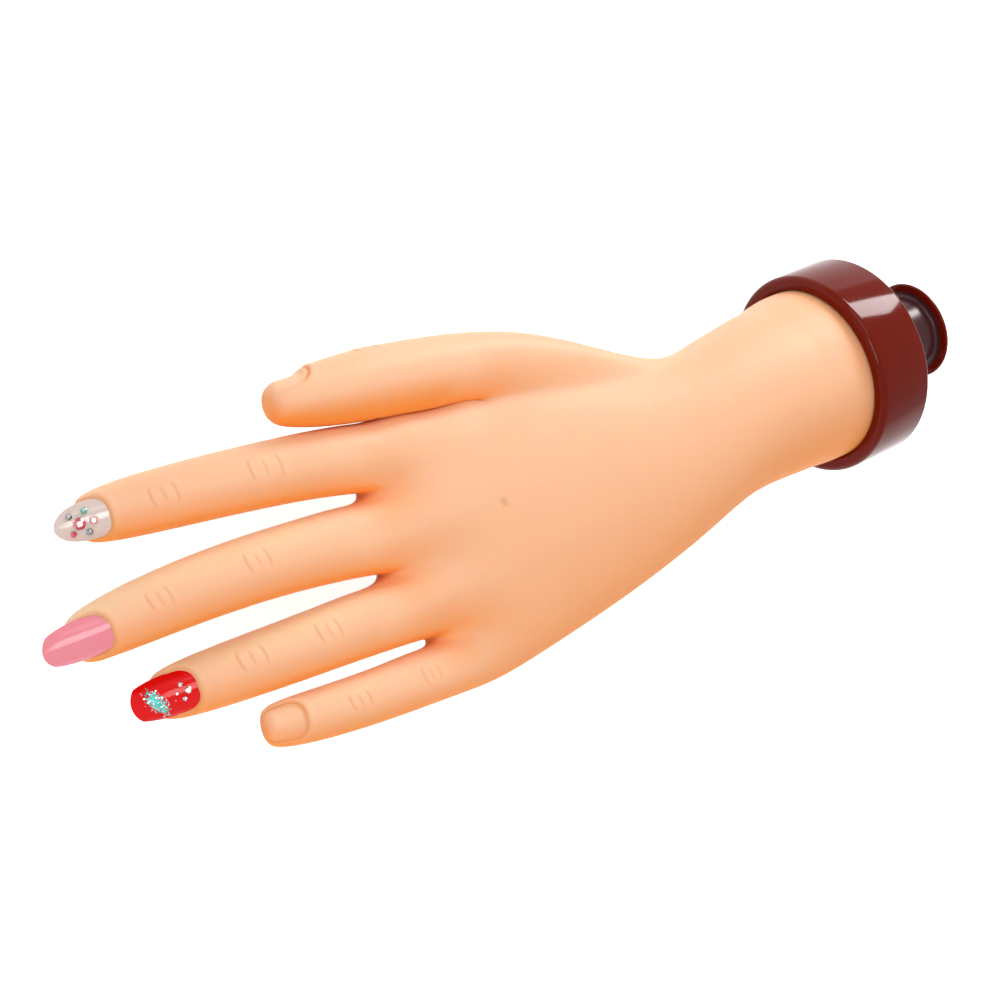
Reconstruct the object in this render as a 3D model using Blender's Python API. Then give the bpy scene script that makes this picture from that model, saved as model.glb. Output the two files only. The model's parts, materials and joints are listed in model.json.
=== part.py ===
"""Nail practice hand: a soft left hand with bendable fingers, slots for nail tips, a wrist collar
and a knob behind the collar that a table clamp grips, on which the hand swivels.

The hand lies palm down. X runs along the wrist from the fingertips to the knob, Y points to the
thumb and Z is up. While the hand is built, the wrist's axis is level, x = 0 is the collar's front
face and z = 0 is the collar's lowest point. At the end the hand is tipped onto the table, where
the collar's back rim and three fingertips touch, and the origin moves to the middle of its footprint.
"""

import math

import bmesh
import bpy
from mathutils import Matrix, Vector

# Collar and wrist
COLLAR_RADIUS = 0.0260
COLLAR_LENGTH = 0.0170
COLLAR_WALL = 0.0036
COLLAR_BACK_WALL = 0.0040
COLLAR_FRONT_ROUNDING = 0.0017
COLLAR_BACK_ROUNDING = 0.0008
WRIST_LENGTH = 0.0460
SKIN_WALL = 0.0035

# Palm
PALM_LENGTH = 0.1315
PALM_WIDTH = 0.0715
PALM_DEPTH = 0.0290

# Fingers: length from the root hinge to the flesh of the tip, and section at the root
FINGERS = ("index", "middle", "ring", "little", "thumb")
FINGER_LENGTH = {"index": 0.0604, "middle": 0.0694, "ring": 0.0552, "little": 0.0399, "thumb": 0.0444}
FINGER_WIDTH = {"index": 0.0160, "middle": 0.0168, "ring": 0.0158, "little": 0.0133, "thumb": 0.0176}
FINGER_DEPTH = {"index": 0.0154, "middle": 0.0156, "ring": 0.0148, "little": 0.0126, "thumb": 0.0178}

# Root hinges: how far they lie before the collar in shares of the palm's length, to the thumb's side
# of the axis in shares of half its width, and below the axis
HINGE_REACH_SHARES = {"index": 1.057, "middle": 1.076, "ring": 1.065, "little": 1.011, "thumb": 0.791}
HINGE_OFFSET_SHARES = {"index": 0.674, "middle": 0.120, "ring": -0.442, "little": -0.931, "thumb": 0.979}
HINGE_DROP = {"index": 0.0222, "middle": 0.0226, "ring": 0.0224, "little": 0.0210, "thumb": 0.0156}
YAW_AT_ROOT_DEG = {"index": 9.0, "middle": 8.0, "ring": 1.0, "little": 1.5, "thumb": 10.0}
YAW_AT_TIP_DEG = {"index": 2.5, "middle": -10.0, "ring": -1.0, "little": 7.5, "thumb": 5.0}
ROLL_DEG = {"index": -2.0, "middle": -4.0, "ring": 4.0, "little": 10.0, "thumb": 88.0}
CURL_SHARE = 0.45
ROOT_BACK = 0.0150
FLEX_LIMIT_DEG = 40.0
EXTEND_LIMIT_DEG = 15.0

# The three long fingers rest on the table. The other two end this far below their hinges.
TABLE_TILT_DEG = 5.5
FREE_FALL = {"little": 0.0098, "thumb": 0.0080}

# Webs between neighbouring fingers, in the order of the fingers, in shares of the palm's length
WEB_REACH_SHARES = (0.951, 0.960, 0.897)
THUMB_WEB_REACH_SHARE = 0.721
THUMB_ROOT_BULGE = 0.0085

# Nail tips and the beds that they slide into
NAIL_WIDTH = {"index": 0.0098, "middle": 0.0100, "ring": 0.0102, "little": 0.0084, "thumb": 0.0118}
NAIL_LENGTH = {"index": 0.0132, "middle": 0.0162, "ring": 0.0156, "little": 0.0110, "thumb": 0.0130}
NAIL_OVERHANG = {"index": 0.0032, "middle": 0.0036, "ring": 0.0027, "little": 0.0, "thumb": 0.0}
NAIL_YAW_DEG = {"index": 0.0, "middle": 5.0, "ring": 0.0, "little": 0.0, "thumb": 0.0}
NAIL_THICKNESS = 0.0008
NAIL_ROOT = 0.0020
NAIL_COVER = 0.0007
WORN_NAILS = ("index", "middle", "ring")

# Stones glued on the index nail and studs on the ring nail
STONE_RADIUS = 0.0014
STONE_HEIGHT = 0.0010
STUD_RADIUS = 0.0008
STUD_HEIGHT = 0.0006

# Armature
WIRE_RADIUS = 0.0010
WIRE_GRIP = 0.0100
BLOCK_LENGTH = 0.0220
BLOCK_WIDTH = 0.0300
BLOCK_HEIGHT = 0.0050
BLOCK_REACH_SHARE = 0.4715
TONGUE_WIDTH = 0.0130
TONGUE_HEIGHT = 0.0035
BLOCK_GAP = 0.0030
PLUG_DEPTH = 0.0020
PLUG_CHAMFER = 0.0015

# Knob behind the collar
NECK_RADIUS = 0.0092
NECK_LENGTH = 0.0220
FLANGE_RADIUS = 0.0126
FLANGE_THICKNESS = 0.0040
FLANGE_RIM = 0.0010
FLANGE_BACK_RADIUS = 0.0084
KNOB_WELL_RADIUS = 0.0062
KNOB_WELL_DEPTH = 0.0160
SPIGOT_RADIUS = 0.0050

# Screws
SCREW_RADIUS = 0.0014
SCREW_HEAD_RADIUS = 0.0028
SCREW_HEAD_HEIGHT = 0.0016
SCREW_LENGTH = 0.0100
SWIVEL_SCREW_LENGTH = 0.0230
SCREW_SLOT = 0.0006
COLLAR_SCREW_CIRCLE = 0.0150
BLOCK_SCREW_LENGTH = 0.0080
BLOCK_SCREW_PITCH = 0.0120
WASHER_RADIUS = 0.0052
WASHER_THICKNESS = 0.0010

# Fits
CLEARANCE = 0.0003
HINGE_CLEARANCE = 0.0005
CUTTER_OVERRUN = 0.0050
MERGE_DISTANCE = 0.00002

# Rows of the wrist and palm. Wrist rows give reach, two sides, drop of the middle and half height,
# as shares of the wrist's length and of the skin's radius. Palm rows give the same as shares of the
# palm's length, of half its width, of the knuckles' drop and of half its depth.
WRIST_ROW_SHARES = (
    (0.00, 1.00, 1.00, 0.00, 1.00),
    (0.30, 1.00, 0.97, 0.00, 0.985),
    (0.70, 0.985, 0.865, 0.05, 0.860),
)
PALM_ROW_SHARES = (
    (0.350, 0.747, 0.465, 0.145, 1.190),
    (0.517, 0.930, 0.580, 0.350, 1.090),
    (0.684, 1.066, 0.700, 0.600, 0.995),
    (0.837, 1.165, 0.715, 0.800, 0.875),
)
ROOT_DEPTH_SHARE = 1.12
ROOT_WIDTH_SHARES = (1.06, 1.10, 1.10, 1.16)
WEB_DIP_SHARE = 0.62

# Rings along a finger: place along its length, width and depth
FINGER_RING_SHARES = (
    (0.00, 1.00, 1.00),
    (0.24, 0.97, 0.96),
    (0.48, 0.95, 0.93),
    (0.70, 0.91, 0.88),
    (0.86, 0.83, 0.76),
    (0.965, 0.62, 0.52),
)
THUMB_RING_SHARES = (
    (0.00, 1.00, 1.00),
    (0.22, 0.97, 0.98),
    (0.44, 0.95, 0.97),
    (0.66, 0.92, 0.88),
    (0.86, 0.82, 0.68),
    (0.965, 0.60, 0.45),
)
THUMB_ROOT_SHARE = 0.50
BALL_SHARE = 0.86
WIRE_END_SHARE = 0.72
WIRE_SPREAD_SHARE = 0.80
THUMB_WIRE_SHARE = 0.20
OCTAGON_SIDES = 8
PALM_SIDES = 20
ROUND_SIDES = 40
SMALL_ROUND_SIDES = 16

# Layout of the stones on the index nail: along the nail, across it, and size
STONE_LAYOUT_SHARES = (
    (0.30, 0.00, 0.75),
    (0.42, -0.45, 0.60),
    (0.42, 0.45, 0.60),
    (0.55, 0.00, 1.00),
    (0.70, -0.38, 0.55),
    (0.70, 0.38, 0.55),
)
STUD_LAYOUT_SHARES = ((0.16, 0.00, 1.00), (0.25, -0.30, 0.75), (0.25, 0.30, 0.75), (0.34, 0.00, 0.60))
# A nail's arc radius as a share of its width, and the narrowing of its root and of its outline
NAIL_ARC_SHARE = 0.62
NAIL_OUTLINE_SHARES = (
    (0.00, 0.62), (0.06, 0.80), (0.14, 0.92), (0.30, 1.00),
    (0.62, 1.00), (0.82, 0.94), (0.93, 0.80), (1.00, 0.52),
)
BED_START_SHARE = 0.98
SCREW_POINT_SHARE = 0.50
SCREW_CROWN_SHARE = 0.70

SKIN_RADIUS = COLLAR_RADIUS - COLLAR_WALL - CLEARANCE
SLEEVE_END = COLLAR_LENGTH - COLLAR_BACK_WALL - CLEARANCE
PLUG_RADIUS = (SKIN_RADIUS - SKIN_WALL) * math.cos(math.pi / PALM_SIDES) - CLEARANCE
WRIST_AXIS = Vector((0.0, 0.0, COLLAR_RADIUS))
UP = Vector((0.0, 0.0, 1.0))
SIDEWAYS = Vector((0.0, 1.0, 0.0))
FORWARD = Vector((-1.0, 0.0, 0.0))

MATERIALS = {
    "soft_skin": ((0.94, 0.58, 0.36, 1.0), 0.45, 0.0),
    "brown_plastic": ((0.19, 0.035, 0.022, 1.0), 0.15, 0.0),
    "nude_nail": ((0.90, 0.72, 0.66, 1.0), 0.15, 0.0),
    "pink_nail": ((0.86, 0.32, 0.42, 1.0), 0.12, 0.0),
    "red_nail": ((0.72, 0.01, 0.02, 1.0), 0.10, 0.0),
    "red_stone": ((0.60, 0.02, 0.06, 1.0), 0.08, 0.0),
    "silver_stud": ((0.85, 0.87, 0.88, 1.0), 0.20, 1.0),
    "armature_wire": ((0.60, 0.60, 0.58, 1.0), 0.35, 1.0),
    "armature_plastic": ((0.80, 0.78, 0.72, 1.0), 0.50, 0.0),
    "screw_steel": ((0.62, 0.63, 0.65, 1.0), 0.30, 1.0),
}


def clear_scene():
    """Removes every object of the startup scene."""
    for item in list(bpy.data.objects):
        bpy.data.objects.remove(item, do_unlink=True)


def material(name):
    """Returns the named material, made on first use."""
    if name in bpy.data.materials:
        return bpy.data.materials[name]
    colour, roughness, metallic = MATERIALS[name]
    made = bpy.data.materials.new(name)
    made.use_nodes = True
    shader = made.node_tree.nodes["Principled BSDF"]
    shader.inputs["Base Color"].default_value = colour
    shader.inputs["Roughness"].default_value = roughness
    shader.inputs["Metallic"].default_value = metallic
    made.diffuse_color = colour
    return made


def add_object(name, mesh, finish=None, parent=None, sharp_deg=35.0):
    """Links a mesh as an object. A piece gets its finish, and a cutter, which has none, is hidden."""
    item = bpy.data.objects.new(name, mesh)
    bpy.context.scene.collection.objects.link(item)
    if finish:
        mesh.materials.clear()
        mesh.materials.append(material(finish))
        mesh.shade_smooth()
        mesh.set_sharp_from_angle(angle=math.radians(sharp_deg))
    else:
        item.hide_render = True
        item.display_type = "WIRE"
    if parent:
        bpy.context.view_layer.update()
        item.parent = parent
        item.matrix_parent_inverse = parent.matrix_world.inverted()
    return item


def add_empty(name, frame, parent):
    """Adds an empty on a frame, as the pivot that moving pieces hang from."""
    item = bpy.data.objects.new(name, None)
    bpy.context.scene.collection.objects.link(item)
    item.parent = parent
    item.matrix_world = frame
    item.empty_display_size = CUTTER_OVERRUN
    bpy.context.view_layer.update()
    return item


def combine(item, other, operation="DIFFERENCE"):
    """Adds a Boolean modifier that cuts another object out of this one, or joins it on."""
    step = item.modifiers.new(f"{operation.lower()} {other.name}", "BOOLEAN")
    step.operation = operation
    step.object = other
    step.solver = "EXACT"
    return item


def mesh_from(bm, name):
    """Turns a bmesh into a mesh whose faces point out."""
    bmesh.ops.recalc_face_normals(bm, faces=bm.faces)
    mesh = bpy.data.meshes.new(name)
    bm.to_mesh(mesh)
    bm.free()
    return mesh


def turned_mesh(name, profile, frame, sides):
    """Spins a closed outline of (along, radius) points round the frame's x axis."""
    bm = bmesh.new()
    points = [bm.verts.new((along, 0.0, radius)) for along, radius in profile]
    edges = [bm.edges.new(pair) for pair in zip(points, points[1:] + points[:1])]
    bmesh.ops.spin(
        bm, geom=points + edges, axis=(1.0, 0.0, 0.0), cent=(0.0, 0.0, 0.0),
        angle=2.0 * math.pi, steps=sides, use_merge=True,
    )
    bmesh.ops.remove_doubles(bm, verts=bm.verts, dist=MERGE_DISTANCE)
    loose = [edge for edge in bm.edges if not edge.link_faces]
    bmesh.ops.delete(bm, geom=loose, context="EDGES")
    centres = [vert for vert in bm.verts if vert.co.yz.length < MERGE_DISTANCE]
    bmesh.ops.dissolve_verts(bm, verts=centres)
    bmesh.ops.transform(bm, matrix=frame, verts=bm.verts)
    return mesh_from(bm, name)


def frame_at(place, along, up=UP):
    """Returns the matrix whose x axis is a direction and whose z axis is near the given up."""
    x_axis = Vector(along).normalized()
    y_axis = Vector(up).cross(x_axis).normalized()
    z_axis = x_axis.cross(y_axis)
    turned = Matrix((x_axis, y_axis, z_axis)).transposed().to_4x4()
    return Matrix.Translation(place) @ turned


def block_mesh(name, size, frame):
    """Makes a box of the given size, centred on the frame."""
    bm = bmesh.new()
    bmesh.ops.create_cube(bm, size=1.0)
    bmesh.ops.scale(bm, vec=size, verts=bm.verts)
    bmesh.ops.transform(bm, matrix=frame, verts=bm.verts)
    return mesh_from(bm, name)


class Finger:
    """The centre line and sections of one finger, from its root hinge to its tip."""

    def __init__(self, name):
        self.name = name
        self.length = FINGER_LENGTH[name]
        self.half_width = FINGER_WIDTH[name] / 2
        self.half_depth = FINGER_DEPTH[name] / 2
        self.ring_shares = THUMB_RING_SHARES if name == "thumb" else FINGER_RING_SHARES
        reach = PALM_LENGTH * HINGE_REACH_SHARES[name]
        offset = PALM_WIDTH / 2 * HINGE_OFFSET_SHARES[name]
        self.hinge = Vector((-reach, offset, COLLAR_RADIUS - HINGE_DROP[name]))
        if name in FREE_FALL:
            self.fall = FREE_FALL[name]
        else:
            share = (self.ring_shares[-2][0] + self.ring_shares[-1][0]) / 2
            pad = self.half_depth * (self.ring_shares[-2][2] + self.ring_shares[-1][2]) / 2
            reach = self.length * share + COLLAR_LENGTH - self.hinge.x
            table = -reach * math.tan(math.radians(TABLE_TILT_DEG))
            self.fall = (self.hinge.z - pad - table) / self.drop_share(share)

    @staticmethod
    def drop_share(share):
        """Returns how much of the finger's fall is reached at a share of its length."""
        return CURL_SHARE * share + (1.0 - CURL_SHARE) * share * abs(share)

    def centre(self, share):
        """Returns the point of the centre line at a share of the finger's length."""
        start = math.tan(math.radians(YAW_AT_ROOT_DEG[self.name]))
        end = math.tan(math.radians(YAW_AT_TIP_DEG[self.name]))
        side = start * share + (end - start) * share * abs(share) / 2
        level = math.sqrt(self.length**2 - self.fall**2)
        return self.hinge + Vector((-level * share, level * side, -self.fall * self.drop_share(share)))

    def axes(self, share):
        """Returns the directions along the finger, up through its back, and across it."""
        step = 1.0 / PALM_SIDES
        along = (self.centre(share + step) - self.centre(share - step)).normalized()
        level_up = (UP - along * UP.dot(along)).normalized()
        back = Matrix.Rotation(math.radians(ROLL_DEG[self.name]), 3, along) @ level_up
        return along, back, along.cross(back)

    def hinge_axes(self):
        """Returns the directions at the root hinge, where the finger bends up and down."""
        along = self.axes(0.0)[0]
        up = (UP - along * UP.dot(along)).normalized()
        return along, up, along.cross(up)

    def ring(self, share, width_share, depth_share):
        """Returns the points of one ring of the cage, from the back towards the thumb's side."""
        along, back, across = self.axes(share)
        swell = 3.0 / (2.0 + math.cos(2.0 * math.pi / OCTAGON_SIDES))
        points = []
        for step in range(OCTAGON_SIDES):
            angle = 2.0 * math.pi * step / OCTAGON_SIDES
            depth = back * self.half_depth * depth_share * math.cos(angle)
            width = across * self.half_width * width_share * math.sin(angle)
            points.append(self.centre(share) + (depth + width) * swell)
        return points


def knuckle_drop():
    """Returns how far the knuckles lie below the wrist's axis."""
    return sum(HINGE_DROP[name] for name in FINGERS[:4]) / 4


def palm_rows():
    """Returns the rows of the wrist and palm: reach, two sides, drop and half height, in metres."""
    rows = [(-SLEEVE_END, SKIN_RADIUS, SKIN_RADIUS, 0.0, SKIN_RADIUS)]
    for reach, *shares in WRIST_ROW_SHARES:
        rows.append((reach * WRIST_LENGTH, *(share * SKIN_RADIUS for share in shares)))
    half = PALM_WIDTH / 2
    for reach, little, thumb, drop, rise in PALM_ROW_SHARES:
        sides = (little * half, thumb * half)
        rows.append((reach * PALM_LENGTH, *sides, drop * knuckle_drop(), rise * PALM_DEPTH / 2))
    return rows


def row_points(row, inset=0.0):
    """Returns the points of one row, from the little finger's side over the back and round."""
    reach, little, thumb, drop, half_height = row
    middle = (thumb - little) / 2
    half_width = (thumb + little) / 2 - inset
    points = []
    for step in range(PALM_SIDES):
        angle = math.pi - 2.0 * math.pi * step / PALM_SIDES
        y = middle + half_width * math.cos(angle)
        z = COLLAR_RADIUS - drop + (half_height - inset) * math.sin(angle)
        points.append(Vector((-reach, y, z)))
    return points


def knuckle_points(fingers):
    """Returns the last palm row, which the four fingers grow from, and the three web points."""
    roots = []
    for finger, width_share in zip(fingers, ROOT_WIDTH_SHARES):
        along, back, across = finger.axes(0.0)
        rise = back * finger.half_depth * ROOT_DEPTH_SHARE
        side = across * finger.half_width * width_share
        roots.append((finger.hinge - along * ROOT_BACK, rise, side))
    points = [None] * PALM_SIDES
    webs = []
    for place, (centre, rise, side) in enumerate(roots):
        points[8 - 2 * place] = centre + rise
        points[12 + 2 * place] = centre - rise
    for place, reach_share in enumerate(WEB_REACH_SHARES):
        near, far = roots[place], roots[place + 1]
        middle = ((near[0] - near[2]) + (far[0] + far[2])) / 2
        middle.x = -reach_share * PALM_LENGTH
        rise = (near[1] + far[1]) / 2 * WEB_DIP_SHARE
        back_step = Vector((far[1].length / 2, 0.0, 0.0))
        webs.append(middle)
        points[7 - 2 * place] = middle + rise + back_step
        points[13 + 2 * place] = middle - rise
    lean = math.sin(math.pi / 4)
    centre, rise, side = roots[0]
    points[9] = centre + (rise + side) * lean
    points[10] = centre + side
    points[11] = centre + (side - rise) * lean
    centre, rise, side = roots[-1]
    points[1] = centre + (rise - side) * lean
    points[0] = centre - side
    points[19] = centre - (rise + side) * lean
    return points, webs


def thumb_root_ring(thumb, patch):
    """Returns the ring halfway from the patch on the palm's side to the thumb, swollen outwards."""
    points = []
    for step, (near, far) in enumerate(zip(patch, thumb.ring(*thumb.ring_shares[0]))):
        away_from_web = (1.0 + math.cos(2.0 * math.pi * step / OCTAGON_SIDES)) / 2
        middle = near + (far - near) * THUMB_ROOT_SHARE
        points.append(middle + SIDEWAYS * THUMB_ROOT_BULGE * away_from_web)
    return points


def hand_surface(fingers):
    """Builds the hand's outer skin as a cage and returns it subdivided once.

    Each face's material number says whose it is: 0 for the palm, then 1 to 5 for the fingers.
    """
    bm = bmesh.new()
    rows = palm_rows()
    rings = [[bm.verts.new(point) for point in row_points(row)] for row in rows]
    knuckles, webs = knuckle_points(fingers)
    rings.append([bm.verts.new(point) for point in knuckles])
    crotches = [bm.verts.new(point) for point in webs]
    first, second, third = (len(rows) - 4, len(rows) - 3, len(rows) - 2)
    for back_ring, front_ring in zip(rings, rings[1:]):
        for step in range(PALM_SIDES):
            after = (step + 1) % PALM_SIDES
            on_patch = step in (9, 10) and back_ring in (rings[first], rings[second])
            if not on_patch:
                bm.faces.new((back_ring[step], back_ring[after], front_ring[after], front_ring[step]))
    rings[third][10].co.x = -THUMB_WEB_REACH_SHARE * PALM_LENGTH
    patch = [
        rings[first][10], rings[first][11], rings[second][11], rings[third][11],
        rings[third][10], rings[third][9], rings[second][9], rings[first][9],
    ]
    bm.verts.remove(rings[second][10])
    last = rings[-1]
    for place, finger in enumerate(fingers):
        if finger.name == "thumb":
            ring = patch
            chain = [thumb_root_ring(finger, [vert.co for vert in patch])]
        else:
            side = last[10] if place == 0 else crotches[place - 1]
            other = last[0] if place == 3 else crotches[place]
            palm_side = [last[11 + 2 * place], last[12 + 2 * place], last[13 + 2 * place]]
            ring = [last[8 - 2 * place], last[9 - 2 * place], side, *palm_side, other, last[7 - 2 * place]]
            chain = []
        chain += [finger.ring(*shares) for shares in finger.ring_shares]
        for points in chain:
            grown = [bm.verts.new(point) for point in points]
            for step in range(OCTAGON_SIDES):
                after = (step + 1) % OCTAGON_SIDES
                face = bm.faces.new((ring[step], ring[after], grown[after], grown[step]))
                face.material_index = place + 1
            ring = grown
        cap = bm.faces.new(ring)
        cap.material_index = place + 1
    cage = add_object("hand_cage", mesh_from(bm, "hand_cage"))
    for mark in ("palm", *FINGERS):
        cage.data.materials.append(bpy.data.materials.new(f"mark_{mark}"))
    smooth = cage.modifiers.new("smooth", "SUBSURF")
    smooth.levels = 1
    smooth.render_levels = 1
    graph = bpy.context.evaluated_depsgraph_get()
    surface = bpy.data.meshes.new_from_object(cage.evaluated_get(graph))
    bpy.data.objects.remove(cage, do_unlink=True)
    bm = bmesh.new()
    bm.from_mesh(surface)
    rim = [edge for edge in bm.edges if edge.is_boundary]
    end = bmesh.ops.contextual_create(bm, geom=rim)["faces"]
    for face in end:
        face.material_index = 0
    bmesh.ops.recalc_face_normals(bm, faces=bm.faces)
    bm.to_mesh(surface)
    bm.free()
    return surface


def split_at(bm, faces, place, facing):
    """Cuts a set of faces at a plane, drops what lies in front of it and closes the opening."""
    region = set(faces)
    for face in faces:
        region.update(face.edges)
        region.update(face.verts)
    cut = bmesh.ops.bisect_plane(
        bm, geom=list(region), plane_co=place, plane_no=facing, clear_outer=True, dist=MERGE_DISTANCE,
    )
    rim = [item for item in cut["geom_cut"] if isinstance(item, bmesh.types.BMEdge)]
    bmesh.ops.contextual_create(bm, geom=rim)


def ball_mesh(name, finger, margin):
    """Makes the rounded root that a finger turns on, or with a margin the socket for it."""
    along, up, across = finger.hinge_axes()
    depth = finger.half_depth if finger.name != "thumb" else finger.half_width
    width = finger.half_width if finger.name != "thumb" else finger.half_depth
    bm = bmesh.new()
    bmesh.ops.create_uvsphere(bm, u_segments=SMALL_ROUND_SIDES, v_segments=SMALL_ROUND_SIDES // 2, radius=1.0)
    half_step = Matrix.Rotation(math.pi / SMALL_ROUND_SIDES, 4, "Z")
    bmesh.ops.transform(bm, matrix=half_step, verts=bm.verts)
    size = (depth * BALL_SHARE + margin, depth * BALL_SHARE + margin, width * BALL_SHARE + margin)
    bmesh.ops.scale(bm, vec=size, verts=bm.verts)
    turned = Matrix((along, up, across)).transposed().to_4x4()
    frame = Matrix.Translation(finger.hinge) @ turned
    bmesh.ops.transform(bm, matrix=frame, verts=bm.verts)
    return mesh_from(bm, name)


def wire_points(finger, start, start_way):
    """Returns a wire's smooth route: out of the block, through the root hinge and up the finger."""
    along = finger.hinge_axes()[0]
    grip = start - start_way * WIRE_GRIP
    lead = finger.hinge - along * ROOT_BACK / 2
    reach = (lead - start).length
    points = [grip, start]
    bends = 6
    for step in range(1, bends):
        share = step / bends
        keep = 1.0 - share
        first = start + start_way * reach / 3
        second = lead - along * reach / 3
        points.append(
            start * keep**3 + first * 3 * keep**2 * share + second * 3 * keep * share**2 + lead * share**3
        )
    points += [lead, finger.hinge]
    steps = 5
    points += [finger.centre(WIRE_END_SHARE * step / steps) for step in range(1, steps + 1)]
    return points


def rod_mesh(name, points, radius):
    """Makes a round bar with flat ends along a list of points."""
    bm = bmesh.new()
    rings = []
    normal = UP
    for place, point in enumerate(points):
        way = points[min(place + 1, len(points) - 1)] - points[max(place - 1, 0)]
        normal = (normal - way * normal.dot(way) / way.length_squared).normalized()
        side = way.normalized().cross(normal)
        ring = []
        for step in range(OCTAGON_SIDES):
            angle = math.pi * (2.0 * step + 1.0) / OCTAGON_SIDES
            offset = (normal * math.cos(angle) + side * math.sin(angle)) * radius
            ring.append(bm.verts.new(point + offset))
        rings.append(ring)
    for low, high in zip(rings, rings[1:]):
        for step in range(OCTAGON_SIDES):
            after = (step + 1) % OCTAGON_SIDES
            bm.faces.new((low[step], low[after], high[after], high[step]))
    bm.faces.new(rings[0])
    bm.faces.new(reversed(rings[-1]))
    return mesh_from(bm, name)


class Nail:
    """The seat of a nail tip: a frame at the cuticle and the arc that the tip follows."""

    def __init__(self, finger):
        self.name = finger.name
        self.length = NAIL_LENGTH[finger.name]
        self.full_length = NAIL_ROOT + self.length
        self.radius = NAIL_WIDTH[finger.name] * NAIL_ARC_SHARE
        self.half_angle = math.asin(1.0 / 2.0 / NAIL_ARC_SHARE)
        start = 1.0 - (self.length - NAIL_OVERHANG[finger.name]) / finger.length
        along, self.back, across = finger.axes((start + 1.0) / 2)
        turn = Matrix.Rotation(-math.radians(NAIL_YAW_DEG[finger.name]), 3, self.back)
        self.along, self.across = turn @ along, turn @ across
        for (low, _, low_depth), (high, _, high_depth) in zip(finger.ring_shares, finger.ring_shares[1:]):
            if low <= start <= high:
                depth = low_depth + (high_depth - low_depth) * (start - low) / (high - low)
        rise = finger.axes(start)[1] * finger.half_depth * depth
        self.place = finger.centre(start) + rise - self.back * NAIL_COVER

    def point(self, distance, angle, depth):
        """Returns a point of the nail: along it, round its arc, and below its outer face."""
        radius = self.radius - depth
        round_arc = (self.back * math.cos(angle) + self.across * math.sin(angle)) * radius
        return self.place - self.back * self.radius + self.along * distance + round_arc

    def shell_mesh(self, name, stations, inner):
        """Lofts a curved plate through (distance, half angle, outer depth) stations."""
        columns = 7
        bm = bmesh.new()
        rings = []
        for distance, half_angle, outer in stations:
            angles = [half_angle * (2.0 * step / columns - 1.0) for step in range(columns + 1)]
            loop = [self.point(distance, angle, outer) for angle in angles]
            loop += [self.point(distance, angle, inner) for angle in reversed(angles)]
            rings.append([bm.verts.new(point) for point in loop])
        for low, high in zip(rings, rings[1:]):
            for step in range(len(low)):
                after = (step + 1) % len(low)
                bm.faces.new((low[step], low[after], high[after], high[step]))
        bm.faces.new(rings[0])
        bm.faces.new(reversed(rings[-1]))
        return mesh_from(bm, name)


def add_nail_seat(skin, nail, parent):
    """Cuts the nail's bed and, behind it, the slot that runs under the fold of the cuticle."""
    gap_angle = CLEARANCE / nail.radius
    wide = nail.half_angle + gap_angle
    stations = [
        (share * nail.full_length - NAIL_ROOT - CLEARANCE, nail.half_angle * width + gap_angle, -CLEARANCE)
        for share, width in NAIL_OUTLINE_SHARES[:2]
    ]
    stations += [
        (0.0, wide * BED_START_SHARE, -CLEARANCE),
        (CLEARANCE, wide * BED_START_SHARE, -CUTTER_OVERRUN),
        (NAIL_ROOT, wide, -CUTTER_OVERRUN),
        (nail.length + CUTTER_OVERRUN, wide, -CUTTER_OVERRUN),
    ]
    name = f"{nail.name}_seat_cut"
    cutter = nail.shell_mesh(name, stations, NAIL_THICKNESS + CLEARANCE)
    combine(skin, add_object(name, cutter, parent=parent))


def add_nail_tip(nail, parent):
    """Adds the loose nail tip, seated in its slot."""
    stations = []
    for share, width in NAIL_OUTLINE_SHARES:
        stations.append((share * nail.full_length - NAIL_ROOT, nail.half_angle * width, 0.0))
    name = f"{nail.name}_nail"
    finish = {"index": "nude_nail", "middle": "pink_nail", "ring": "red_nail"}[nail.name]
    return add_object(name, nail.shell_mesh(name, stations, NAIL_THICKNESS), finish, parent)


def add_stones(nail, layout, radius, height, finish, parent):
    """Adds faceted stones on a nail tip, each a low cone cut off flat."""
    for number, (along_share, across_share, size_share) in enumerate(layout, start=1):
        angle = nail.half_angle * across_share
        foot = nail.point(nail.length * along_share, angle, -CLEARANCE)
        outward = nail.back * math.cos(angle) + nail.across * math.sin(angle)
        size = radius * size_share
        profile = [(0.0, 0.0), (0.0, size), (height / 3, size), (height, size / 2), (height, 0.0)]
        name = f"{nail.name}_{finish.split('_')[1]}_{number}"
        mesh = turned_mesh(name, profile, frame_at(foot, outward, nail.along), OCTAGON_SIDES)
        add_object(name, mesh, finish, parent, sharp_deg=10.0)


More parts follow.
